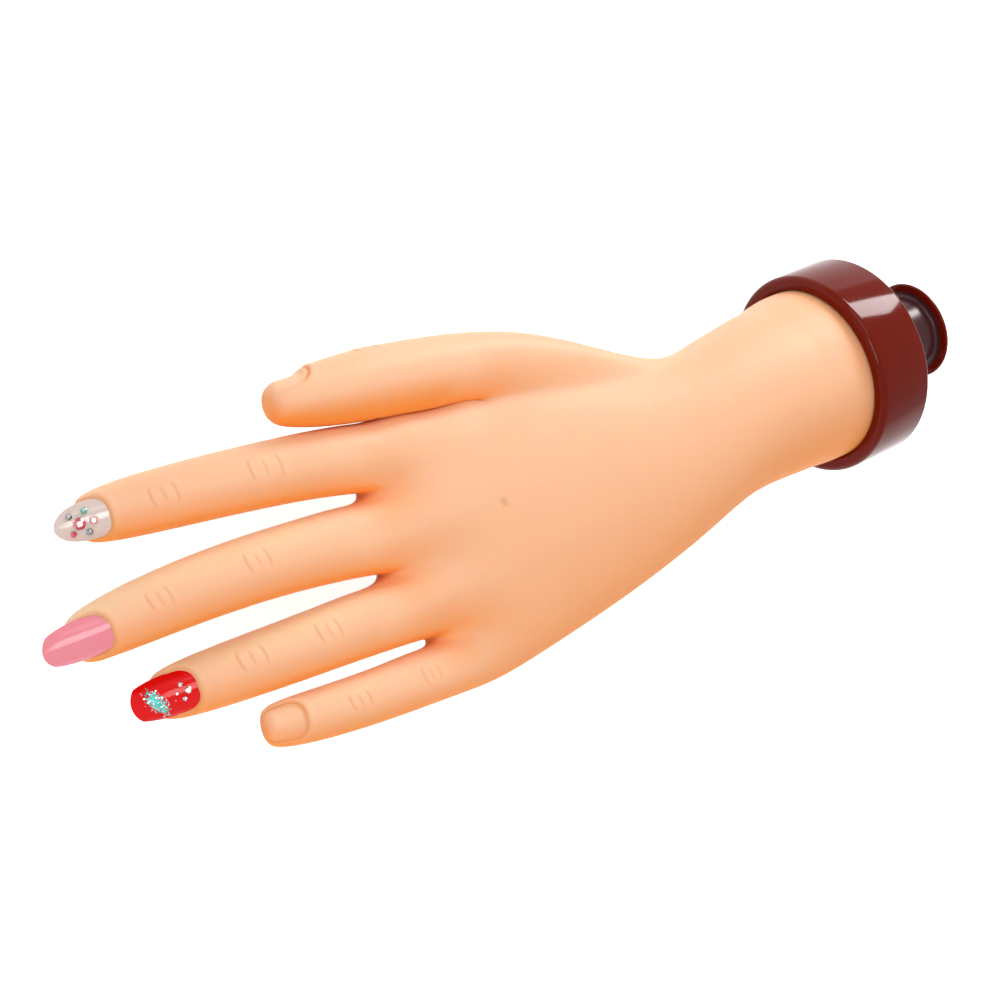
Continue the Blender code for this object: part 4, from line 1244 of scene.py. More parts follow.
@dataclass(frozen=True)
class ReliefForm:
    """The soft hollows and swellings of the palm, its webs and its wrist, in metres."""

    upward: float = 1.6
    head_back: float = 26.0 * MM
    head_length: float = 11.0 * MM
    head_width: float = 7.5 * MM
    head_rise: float = 0.45 * MM
    gather_run: float = 0.12
    gather_share: float = 0.75
    tendon_start: float = 20.0 * MM
    tendon_fade: float = 30.0 * MM
    tendon_fade_run: float = 30.0 * MM
    tendon_width: float = 4.0 * MM
    tendon_rise: float = 0.22 * MM
    valley: Span = (-79.0 * MM, 25.0 * MM)
    valley_length: float = 13.0 * MM
    valley_width: float = 5.5 * MM
    valley_rise: float = 0.8 * MM
    web_side: float = 0.2 * MM
    web_side_run: float = 1.2 * MM
    web_ahead: float = 3.5 * MM
    web_length: float = 7.5 * MM
    web_width: float = 5.0 * MM
    web_open: float = 1.15 * MM
    web_reach: float = 5.5 * MM
    web_draw: float = 1.5 * MM
    thumb_from: float = 91.0 * MM
    thumb_rise: float = 8.0 * MM
    thumb_to: float = 114.0 * MM
    thumb_fall: float = 12.0 * MM
    thumb_top: float = 20.0 * MM
    thumb_top_run: float = 7.0 * MM
    thumb_facing: float = 1.5
    thumb_sides: Span = (15.0 * MM, 33.0 * MM)
    thumb_swell: float = 1.7 * MM
    lip_gap: float = 2.0 * MM
    lip_run: float = 11.0 * MM
    lip_share: float = 0.8
    least_radius: float = 1.0 * MM

    def shape_back(self, lines: list[DigitLine], points: np.ndarray, normals: np.ndarray) -> None:
        """Raises the knuckles and tendons on the hand's back and evens the valley by the thumb.

        Args:
            lines: The four fingers.
            points: The vertices, which are moved.
            normals: The vertex normals.
        """
        lift = np.zeros(len(points))
        for line in lines:
            head = line.hinge + Vector((self.head_back, 0.0, 0.0))
            run = points[:, 0] - head.x
            gather = np.clip(run, 0.0, 1.0) / self.gather_run * self.gather_share
            drift = points[:, 1] - head.y * (1.0 - gather)
            lift += bell(run, self.head_length) * bell(drift, self.head_width) * self.head_rise
            faded = soft_step((run - self.tendon_fade) / self.tendon_fade_run)
            tendon = soft_step(run / self.tendon_start) * (1.0 - faded)
            lift += tendon * bell(drift, self.tendon_width) * self.tendon_rise
        along, side = (points[:, axis] - self.valley[axis] for axis in range(2))
        lift += bell(along, self.valley_length) * bell(side, self.valley_width) * self.valley_rise
        points += normals * (lift * soft_step(normals[:, 2] * self.upward))[:, None]

    def open_web(self, points: np.ndarray, middle: np.ndarray, across: np.ndarray, near: np.ndarray) -> None:
        """Draws one web back a little and widens it towards the little finger's side.

        Args:
            points: The vertices, which are moved.
            middle: The web's middle.
            across: The direction from the little finger's side to the thumb's.
            near: Which vertices are the finger's on the thumb's side, and stay.
        """
        offset = points - middle
        reach = np.linalg.norm(offset, axis=1)
        side = offset @ across
        widened = soft_step((self.web_side - side) / self.web_side_run) * ~near
        widened *= bell(-offset[:, 0] - self.web_ahead, self.web_length) * bell(side, self.web_width)
        points -= np.outer(widened * self.web_open, across)
        points[:, 0] += bell(reach, self.web_reach) * self.web_draw

    def fill_under_thumb(self, points: np.ndarray, normals: np.ndarray, owner: np.ndarray) -> None:
        """Swells the side of the palm and the index finger under the thumb, which they almost touch.

        Args:
            points: The vertices, which are moved.
            normals: The vertex normals.
            owner: Whose each vertex is.
        """
        run, side = -points[:, 0], points[:, 1]
        window = soft_step((run - self.thumb_from) / self.thumb_rise)
        window *= 1.0 - soft_step((run - self.thumb_to) / self.thumb_fall)
        window *= soft_step((self.thumb_top - points[:, 2]) / self.thumb_top_run)
        window *= soft_step(normals[:, 1] * self.thumb_facing)
        inner, outer = self.thumb_sides
        window *= ((owner == 0) | (owner == 1)) & (side > inner) & (side < outer)
        points[:, 1] += window * self.thumb_swell

    def meet_collar(self, points: np.ndarray) -> None:
        """Rounds the wrist's skin close under the collar's lip.

        Args:
            points: The vertices, which are moved.
        """
        height = points[:, 2] - HAND.collar_radius
        radial = np.hypot(points[:, 1], height)
        close = 1.0 - soft_step((-points[:, 0] - self.lip_gap) / self.lip_run)
        close *= radial > HAND.skin_radius * self.lip_share
        lip = HAND.skin_radius + HAND.clearance / 2
        scale = 1.0 + close * (lip / np.maximum(radial, self.least_radius) - 1.0)
        points[:, 1] *= scale
        points[:, 2] = HAND.collar_radius + height * scale


@dataclass
class HandSkin(Assembly):
    """The soft skin: the palm with its wrist sleeve, and the pieces of its five digits."""

    fine_level: int = 4
    seam_back: float = 7.0 * MM
    bend_ahead: float = 8.0 * MM
    nail_margin: float = 3.0 * MM
    nail_margin_angle: float = 0.45
    knuckle_margin: float = 1.6 * MM
    knuckle_margin_share: float = 1.5
    lengthwise_share: float = 0.7
    knuckle_cuts: int = 3
    smooth_passes: int = 2
    sleeve_rim: float = 1.0 * MM
    hollow_reaches: tuple[float, ...] = (0.0, 20.0 * MM, 40.0 * MM, 60.0 * MM, 87.0 * MM)
    wire_sharp_deg: float = 50.0
    creases: CreaseForm = CreaseForm()
    tones: ToneForm = ToneForm()
    relief: ReliefForm = ReliefForm()
    lines: list[DigitLine] = field(init=False)
    seats: list[NailSeat] = field(init=False)

    def __post_init__(self) -> None:
        """Lays out the digits and their nails."""
        self.lines = [DigitLine(sizes) for sizes in DIGITS]
        self.seats = [NailSeat(line) for line in self.lines]

    def rows(self) -> list[tuple[float, ...]]:
        """Works out the rows of the wrist and palm.

        Returns:
            Each row's reach, its two sides, its drop and its half height.
        """
        radius = HAND.skin_radius
        rows = [(-HAND.sleeve_end, radius, radius, 0.0, radius)]
        for reach, *shares in HAND.wrist_rows:
            rows.append((reach * HAND.wrist_length, *(share * radius for share in shares)))
        knuckle_drop = sum(sizes.drop for sizes in DIGITS[:4]) / 4
        half, rise_unit = HAND.palm_width / 2, HAND.palm_depth / 2
        for reach, little, thumb, drop, rise in HAND.palm_rows:
            sides = (little * half, thumb * half)
            rows.append((reach * HAND.palm_length, *sides, drop * knuckle_drop, rise * rise_unit))
        return rows

    @staticmethod
    def row_points(row: tuple[float, ...]) -> list[Vector]:
        """Works out the points of one row.

        Args:
            row: The row's reach, its two sides, its drop and its half height.

        Returns:
            The points, from the little finger's side over the back and round.
        """
        reach, little, thumb, drop, half_height = row
        middle = (thumb - little) / 2
        half_width = (thumb + little) / 2
        points = []
        for step in range(PALM_SIDES):
            angle = math.pi - math.tau * step / PALM_SIDES
            y = middle + half_width * math.cos(angle)
            z = HAND.collar_radius - drop + half_height * math.sin(angle)
            points.append(Vector((-reach, y, z)))
        return points

    def knuckle_points(self) -> tuple[list[Vector], list[Vector]]:
        """Works out the last palm row, which the four fingers grow from.

        Returns:
            The row's points, and the three web points.
        """
        roots = []
        for line, width_share in zip(self.lines, HAND.root_width_shares):
            along, back, across = line.axes(0.0)
            rise = back * line.sizes.depth / 2 * HAND.root_depth_share
            side = across * line.sizes.width / 2 * width_share
            roots.append((line.hinge - along * HAND.root_back, rise, side))
        points: list[Vector] = [Vector()] * PALM_SIDES
        webs = []
        for place, (centre, rise, _) in enumerate(roots):
            points[8 - 2 * place] = centre + rise
            points[12 + 2 * place] = centre - rise
        for place, reach_share in enumerate(HAND.web_reach_shares):
            near, far = roots[place], roots[place + 1]
            middle = ((near[0] - near[2]) + (far[0] + far[2])) / 2
            middle.x = -reach_share * HAND.palm_length
            rise = (near[1] + far[1]) / 2 * HAND.web_dip_share
            webs.append(middle)
            points[7 - 2 * place] = middle + rise + Vector((far[1].length / 2, 0.0, 0.0))
            points[13 + 2 * place] = middle - rise
        lean = math.sin(math.pi / 4)
        centre, rise, side = roots[0]
        points[9] = centre + (rise + side) * lean
        points[10] = centre + side
        points[11] = centre + (side - rise) * lean
        centre, rise, side = roots[-1]
        points[1] = centre + (rise - side) * lean
        points[0] = centre - side
        points[19] = centre - (rise + side) * lean
        return points, webs

    @staticmethod
    def grow(
        bm: Shape, ring: list[Vert], points: list[Vector], owner: int
    ) -> list[Vert]:
        """Extrudes a closed ring of vertices and moves the new ring onto the given points.

        Args:
            bm: The cage.
            ring: The vertices to extrude from, in order.
            points: Where the new vertices go.
            owner: The number that the new faces carry.

        Returns:
            The new vertices, in the same order.
        """
        edges = [bm.edges.get(pair) for pair in zip(ring, ring[1:] + ring[:1])]
        made = bmesh.ops.extrude_edge_only(bm, edges=edges)["geom"]
        fresh = {item for item in made if isinstance(item, Vert)}
        grown = []
        for old, point in zip(ring, points):
            new = next(edge.other_vert(old) for edge in old.link_edges if edge.other_vert(old) in fresh)
            new.co = point
            grown.append(new)
        for item in made:
            if isinstance(item, bmesh.types.BMFace):
                item.material_index = owner
        return grown

    def cage(self) -> Shape:
        """Builds the cage of the hand.

        Returns:
            The cage, whose palm faces carry 0, and its digits' faces 1 to 5.
        """
        bm = bmesh.new()
        rows = self.rows()
        ring = bmesh.ops.create_circle(bm, segments=PALM_SIDES, radius=1.0)["verts"]
        for vert, point in zip(ring, self.row_points(rows[0])):
            vert.co = point
        rings = [ring]
        for row in rows[1:]:
            rings.append(self.grow(bm, rings[-1], self.row_points(row), 0))
        knuckles, webs = self.knuckle_points()
        rings.append(self.grow(bm, rings[-1], knuckles, 0))
        last = rings[-1]
        crotches = [bm.verts.new(point) for point in webs]
        for place, vert in enumerate(crotches):
            bm.edges.new((vert, last[7 - 2 * place]))
            bm.edges.new((vert, last[13 + 2 * place]))
        low, mid, high = rings[-5], rings[-4], rings[-3]
        high[10].co.x = -HAND.thumb_web_reach_share * HAND.palm_length
        patch = [low[10], low[11], mid[11], high[11], high[10], high[9], mid[9], low[9]]
        bmesh.ops.delete(bm, geom=list(mid[10].link_faces), context="FACES")
        for place, line in enumerate(self.lines):
            if line.sizes.digit is Digit.THUMB:
                ring = patch
                chain = [self.thumb_root(line, patch)]
            else:
                side = last[10] if place == 0 else crotches[place - 1]
                other = last[0] if place == len(crotches) else crotches[place]
                ring = [last[8 - 2 * place], last[9 - 2 * place], side]
                ring += [last[11 + 2 * place], last[12 + 2 * place], last[13 + 2 * place]]
                ring += [other, last[7 - 2 * place]]
                chain = []
            chain += [line.ring(*shares) for shares in line.sizes.rings]
            for points in chain:
                ring = self.grow(bm, ring, points, place + 1)
            edges = [bm.edges.get(pair) for pair in zip(ring, ring[1:] + ring[:1])]
            cap = bmesh.ops.contextual_create(bm, geom=edges)["faces"][0]
            cap.material_index = place + 1
        bmesh.ops.recalc_face_normals(bm, faces=bm.faces)
        return bm

    @staticmethod
    def thumb_root(line: DigitLine, patch: list[Vert]) -> list[Vector]:
        """Works out the ring halfway from the palm's side to the thumb, swollen outwards.

        Args:
            line: The thumb.
            patch: The vertices round the opening in the palm's side.

        Returns:
            The ring's points.
        """
        points = []
        for step, (near, far) in enumerate(zip(patch, line.ring(*line.sizes.rings[0]))):
            away_from_web = (1.0 + math.cos(math.tau * step / RING_SIDES)) / 2
            points.append((near.co + far) / 2 + SIDEWAYS * HAND.thumb_root_bulge * away_from_web)
        return points

    def fine_surface(self) -> Shape:
        """Rounds the cage and adds rows of faces where creases and nail folds need them.

        Returns:
            The fine skin, whose faces carry their owner's number.
        """
        mesh = plain_mesh(self.cage(), "hand_cage")
        for _ in range(len(self.lines) + 1):
            mesh.materials.append(None)
        item = link_object("hand_cage", mesh)
        step = item.modifiers.new("round", "SUBSURF")
        step.levels = step.render_levels = self.fine_level
        graph = bpy.context.evaluated_depsgraph_get()
        fine = bmesh.new()
        fine.from_object(item, graph)
        bpy.data.objects.remove(item, do_unlink=True)
        for place in range(len(self.lines)):
            self.refine(fine, place)
        return fine

    def refine(self, bm: Shape, place: int) -> None:
        """Splits the edges that run along a digit at its knuckles, and all edges round its nail.

        Args:
            bm: The fine skin.
            place: The digit's place in the hand.
        """
        line, seat = self.lines[place], self.seats[place]
        verts = sorted(
            {vert for face in bm.faces if face.material_index == place + 1 for vert in face.verts},
            key=lambda vert: vert.index,
        )
        points = np.array([vert.co for vert in verts])
        share, angle = line.locate(points)
        distance, nail_angle, _, _ = seat.locate(points)
        near_nail = distance > -self.nail_margin
        near_nail &= np.abs(nail_angle) < seat.half_angle + self.nail_margin_angle
        at_knuckle = np.zeros(len(verts), bool)
        for knuckle in line.sizes.knuckles:
            away = (share - knuckle.share) * line.sizes.length
            round_arc = angle * line.sizes.width / 2 - knuckle.across
            close = np.abs(away) < knuckle.spread + self.knuckle_margin
            at_knuckle |= close & (np.abs(round_arc) < knuckle.reach * self.knuckle_margin_share)
        at_knuckle &= ~near_nail
        marks = {
            vert: (bool(nail), bool(knuckled), float(where))
            for vert, nail, knuckled, where in zip(verts, near_nail, at_knuckle, share)
        }
        along_edges, nail_edges = [], []
        for edge in {edge for vert in verts for edge in vert.link_edges}:
            ends = [marks.get(vert) for vert in edge.verts]
            if None in ends:
                continue
            if ends[0][0] and ends[1][0]:
                nail_edges.append(edge)
            elif ends[0][1] and ends[1][1]:
                run = abs(ends[0][2] - ends[1][2]) * line.sizes.length
                if run > edge.calc_length() * self.lengthwise_share:
                    along_edges.append(edge)
        bmesh.ops.subdivide_edges(bm, edges=along_edges, cuts=self.knuckle_cuts, use_grid_fill=True)
        made = bmesh.ops.subdivide_edges(bm, edges=nail_edges, cuts=1, use_grid_fill=True)
        fresh = {item for item in made["geom_inner"] if isinstance(item, Vert)}
        for _ in range(self.smooth_passes):
            bmesh.ops.smooth_vert(
                bm, verts=list(fresh), factor=0.5, use_axis_x=True, use_axis_y=True, use_axis_z=True
            )
        bm.verts.index_update()

    def sculpt(
        self, points: np.ndarray, normals: np.ndarray, owner: np.ndarray
    ) -> dict[SkinLayer, np.ndarray]:
        """Presses the creases, nail folds and soft hollows into the skin.

        Args:
            points: The vertices, which are moved.
            normals: The vertex normals.
            owner: Whose each vertex is, 0 for the palm and 1 to 5 for the digits.

        Returns:
            The layers that the skin's finish reads.
        """
        tones = self.tones
        # Painted shade and painted light, read from the normals before the skin is sculpted.
        warmth = tones.warmth(points, normals, owner)
        pale = tones.pale(points, normals, owner)
        self.relief.shape_back(self.lines[:4], points, normals)
        webs = [np.array(web) for web in self.knuckle_points()[1]]
        for place, web in enumerate(webs):
            across = np.array(self.lines[place + 1].axes(0.0)[2])
            self.relief.open_web(points, web, across, owner == place + 1)
        # Painted shade round the webs.
        for web in webs:
            away = np.linalg.norm(points - web, axis=1)
            warmth = np.maximum(warmth, bell(away, tones.web_width) * tones.web_share)
        self.relief.fill_under_thumb(points, normals, owner)
        self.relief.meet_collar(points)
        # Painted shade in creases and nail grooves.
        crevice = np.zeros(len(points))
        bleed = np.ones(len(points))
        for place, (line, seat) in enumerate(zip(self.lines, self.seats)):
            mine = np.flatnonzero(owner == place + 1)
            part = points[mine]
            lift, crevice[mine] = self.creases.press(line, *line.locate(part))
            part += normals[mine] * lift[:, None]
            crevice[mine] += self.bed(line).press(seat, part)
            points[mine] = part
            bleed[mine] = tones.bleed(part, *self.seam(line))
        palm = np.flatnonzero(owner == 0)
        for line in self.lines:
            spot, facing = self.seam(line)
            reach = np.linalg.norm(points[palm] - np.array(spot), axis=1)
            round_seam = np.where(reach < line.sizes.width, tones.bleed(points[palm], spot, facing), 1.0)
            bleed[palm] = np.minimum(bleed[palm], round_seam)
        crevice = np.clip(crevice, 0.0, 1.0)
        return {
            SkinLayer.PAINTED_CREASE_SHADE: crevice,
            SkinLayer.PAINTED_SHADE: warmth * (1.0 - tones.crease_relief * crevice),
            SkinLayer.BLEED: bleed,
            SkinLayer.SPECK: tones.speck(points),
            SkinLayer.PAINTED_LIGHT: pale,
        }

    @staticmethod
    def bed(line: DigitLine) -> BedForm:
        """Returns the kind of nail bed that a digit has."""
        bare = THUMB_BED if line.sizes.digit is Digit.THUMB else BARE_BED
        return WORN_BED if line.sizes.digit in TIP_SHAPES else bare

    def seam(self, line: DigitLine) -> tuple[Vector, Vector]:
        """Returns a point and the direction of the plane where a digit's piece starts."""
        along = line.axes(0.0)[0]
        return line.hinge - along * self.seam_back, along

    def bend(self, piece: bpy.types.Object, line: DigitLine) -> None:
        """Bakes a piece's place into its mesh.

        Args:
            piece: The piece.
            line: The digit; not used.
        """
        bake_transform(piece)

    def build(self) -> None:
        """Builds the palm's piece, the five digits' pieces and their wires."""
        whole = plain_mesh(self.fine_surface(), "hand_skin")
        count = len(whole.vertices)
        points, normals = np.empty(count * 3), np.empty(count * 3)
        whole.vertices.foreach_get("co", points)
        whole.vertex_normals.foreach_get("vector", normals)
        points, normals = points.reshape(-1, 3), normals.reshape(-1, 3)
        owner = np.zeros(count, int)
        for face in whole.polygons:
            if face.material_index:
                owner[list(face.vertices)] = face.material_index
        layers = self.sculpt(points, normals, owner)
        whole.vertices.foreach_set("co", points.ravel())
        whole.update()
        for layer, numbers in layers.items():
            values = whole.attributes.new(layer.value, "FLOAT", "POINT")
            values.data.foreach_set("value", numbers.astype(np.float32))
        whole.vertex_normals.foreach_get("vector", normals := np.empty(count * 3))
        kept = whole.attributes.new("skin_normal", "FLOAT_VECTOR", "POINT")
        kept.data.foreach_set("vector", normals.astype(np.float32))
        self.split(whole)
        self.bend_wires()

    def split(self, whole: bpy.types.Mesh) -> None:
        """Splits the fine skin into the palm's piece and the digits' pieces.

        Args:
            whole: The fine skin, whose faces are numbered by owner.
        """
        bm = bmesh.new()
        bm.from_mesh(whole)
        for place, line in enumerate(self.lines):
            spot, facing = self.seam(line)
            region = {face for face in bm.faces if face.material_index == place + 1}
            geometry = set(region)
            for face in region:
                geometry.update(face.edges)
                geometry.update(face.verts)
            bmesh.ops.bisect_plane(
                bm, geom=list(geometry), plane_co=spot, plane_no=facing, dist=MERGE_DISTANCE / 4
            )
            for face in bm.faces:
                if face.material_index == place + 1:
                    if (face.calc_center_median() - spot).dot(facing) < 0.0:
                        face.material_index = 0
        for owner in range(len(self.lines) + 1):
            part = bm.copy()
            others = [face for face in part.faces if face.material_index != owner]
            bmesh.ops.delete(part, geom=others, context="FACES")
            if owner == 0:
                self.line_sleeve(part)
            rim = [edge for edge in part.edges if edge.is_boundary]
            bmesh.ops.holes_fill(part, edges=rim, sides=0)
            for face in part.faces:
                face.material_index = 0
                face.smooth = True
            self.skin_piece(part, owner)
        bm.free()

    def line_sleeve(self, bm: Shape) -> None:
        """Adds the inner wall of the wrist, from the sleeve's end to the hollow's end in the palm.

        Args:
            bm: The palm's skin, whose rim lies in the collar.
        """
        start = HAND.sleeve_end - self.sleeve_rim
        ring = [edge for edge in bm.edges if edge.is_boundary and edge.verts[0].co.x > start]
        rows = self.rows()
        table = np.array(rows)
        layer = bm.verts.layers.float_vector["skin_normal"]
        for reach in (rows[0][0], rows[0][0] + self.sleeve_rim, *self.hollow_reaches):
            made = bmesh.ops.extrude_edge_only(bm, edges=ring)["geom"]
            _, little, thumb, drop, half_height = (
                float(np.interp(reach, table[:, 0], table[:, column])) for column in range(5)
            )
            for vert in (item for item in made if isinstance(item, Vert)):
                angle = math.atan2(vert.co.z - HAND.collar_radius, vert.co.y)
                vert.co.x = -reach
                vert.co.y = (thumb - little) / 2 + ((little + thumb) / 2 - HAND.skin_wall) * math.cos(angle)
                vert.co.z = HAND.collar_radius + (half_height - HAND.skin_wall) * math.sin(angle)
                vert.co.z -= drop if reach > rows[3][0] else 0.0
                vert[layer] = (0.0, -math.cos(angle), -math.sin(angle))
            ring = [item for item in made if isinstance(item, bmesh.types.BMEdge) and item.is_boundary]

    def skin_piece(self, bm: Shape, owner: int) -> None:
        """Makes one piece of the skin; the palm's piece moves with the hand.

        Args:
            bm: The piece's shape, which is freed.
            owner: 0 for the palm, and 1 to 5 for the digits.
        """
        line = self.lines[owner - 1] if owner else None
        place = line.sizes.digit.value if line else "palm"
        bmesh.ops.transform(bm, matrix=self.stand, verts=bm.verts)
        mesh = plain_mesh(bm, f"{place}_surface")
        normals = np.empty(len(mesh.vertices) * 3)
        mesh.attributes["skin_normal"].data.foreach_get("vector", normals)
        turned = normals.reshape(-1, 3) @ np.array(self.stand.to_3x3()).T
        mesh.normals_split_custom_set_from_vertices(turned.tolist())
        mesh.attributes.remove(mesh.attributes["skin_normal"])
        piece = self.add(f"{place}_surface", mesh, Finish.SKIN, Slot.SKIN)
        if line:
            self.bend(piece, line)
        else:
            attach(piece, "hand")
        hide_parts(f"{place}_skin")

    def bend_wires(self) -> None:
        """Makes a smooth-shaded copy of each digit's wire and hides the wire."""
        for line in self.lines:
            name = f"{line.sizes.digit.value}_wire"
            bm = bmesh.new()
            bm.from_mesh(bpy.data.objects[name].data)
            bmesh.ops.remove_doubles(bm, verts=bm.verts, dist=MERGE_DISTANCE)
            mesh = finished_mesh(bm, f"{name}_core", Matrix.Identity(4), self.wire_sharp_deg)
            piece = self.add(f"{name}_core", mesh, Finish.WIRE, Slot.WIRE)
            self.bend(piece, line)
            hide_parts(name)


# ---- nail tips and what is glued on them

@dataclass
class NailTip(Assembly):
    """A loose nail tip: a thin arched plate with soft edges, seated in its slot."""

    line: DigitLine
    cells: int = 40
    top_share: float = 0.06
    plate_share: float = 0.88
    edge_round: float = 0.20 * MM
    edge_steps: int = 3
    edge_deg: float = 50.0
    sharp_deg: float = 60.0
    seat: NailSeat = field(init=False)
    shape: TipShape = field(init=False)

    def __post_init__(self) -> None:
        """Finds the tip's seat and shape."""
        self.seat = NailSeat(self.line)
        self.shape = TIP_SHAPES[self.line.sizes.digit]

    @property
    def name(self) -> str:
        """The digit's name."""
        return self.line.sizes.digit.value

    @property
    def body(self) -> str:
        """The body that the tip moves with."""
        return f"{self.name}_nail_tip"

    def surface(self, across: float, along: float, depth: float) -> Vector:
        """Works out a point of the plate from its place on a square of side 2.

        Args:
            across: From -1 to 1 across the nail.
            along: From -1 at the root to 1 at the tip.
            depth: How far below the outer face.

        Returns:
            The point in the hand's frame.
        """
        shape, seat = self.shape, self.seat
        roundness = shape.root_round if along < 0.0 else shape.tip_round
        run = along * math.sqrt(1.0 - roundness * across**2 / 2)
        spread = across * math.sqrt(1.0 - roundness * along**2 / 2)
        share = (run + 1.0) / 2
        full = seat.root + seat.length + shape.extra
        narrow = 1.0 - shape.taper * share**shape.taper_power
        narrow -= shape.root_taper * (1.0 - share) ** shape.bend_power
        droop = shape.droop * share**shape.bend_power
        return seat.point(
            full * share - seat.root, seat.half_angle * shape.spread * spread * narrow, depth + droop
        )

    def build(self) -> None:
        """Builds the plate."""
        bm = bmesh.new()
        bmesh.ops.create_grid(bm, x_segments=self.cells, y_segments=self.cells, size=1.0)
        for vert in bm.verts:
            vert.co = self.surface(vert.co.x, vert.co.y, self.seat.thickness * self.top_share)
        bmesh.ops.recalc_face_normals(bm, faces=bm.faces)
        outer = bm.faces[:][len(bm.faces) // 2]
        if outer.normal.dot(self.seat.back) < 0.0:
            bmesh.ops.reverse_faces(bm, faces=bm.faces)
        bmesh.ops.solidify(bm, geom=bm.faces, thickness=self.seat.thickness * self.plate_share)
        rim = [edge for edge in bm.edges if edge.calc_face_angle(0.0) > math.radians(self.edge_deg)]
        bmesh.ops.bevel(
            bm, geom=rim, offset=self.edge_round, offset_type="OFFSET", segments=self.edge_steps,
            profile=0.5, affect="EDGES", material=-1,
        )
        name = f"{self.name}_tip_plate"
        mesh = finished_mesh(bm, name, self.stand, self.sharp_deg)
        self.add_rigid(name, mesh, self.shape.finish, self.shape.slot, self.body, f"{self.name}_nail")


@dataclass(frozen=True)
class GemPlace:
    """One stone or stud: along the nail, across it, its size and its finish."""

    along: float
    across: float
    size: float
    finish: Finish


@dataclass(frozen=True)
class GemKind:
    """One kind of stone: its full radius and height, its slot, and its pieces' and nodes' names."""

    radius: float
    height: float
    slot: Slot
    piece: str
    node: str


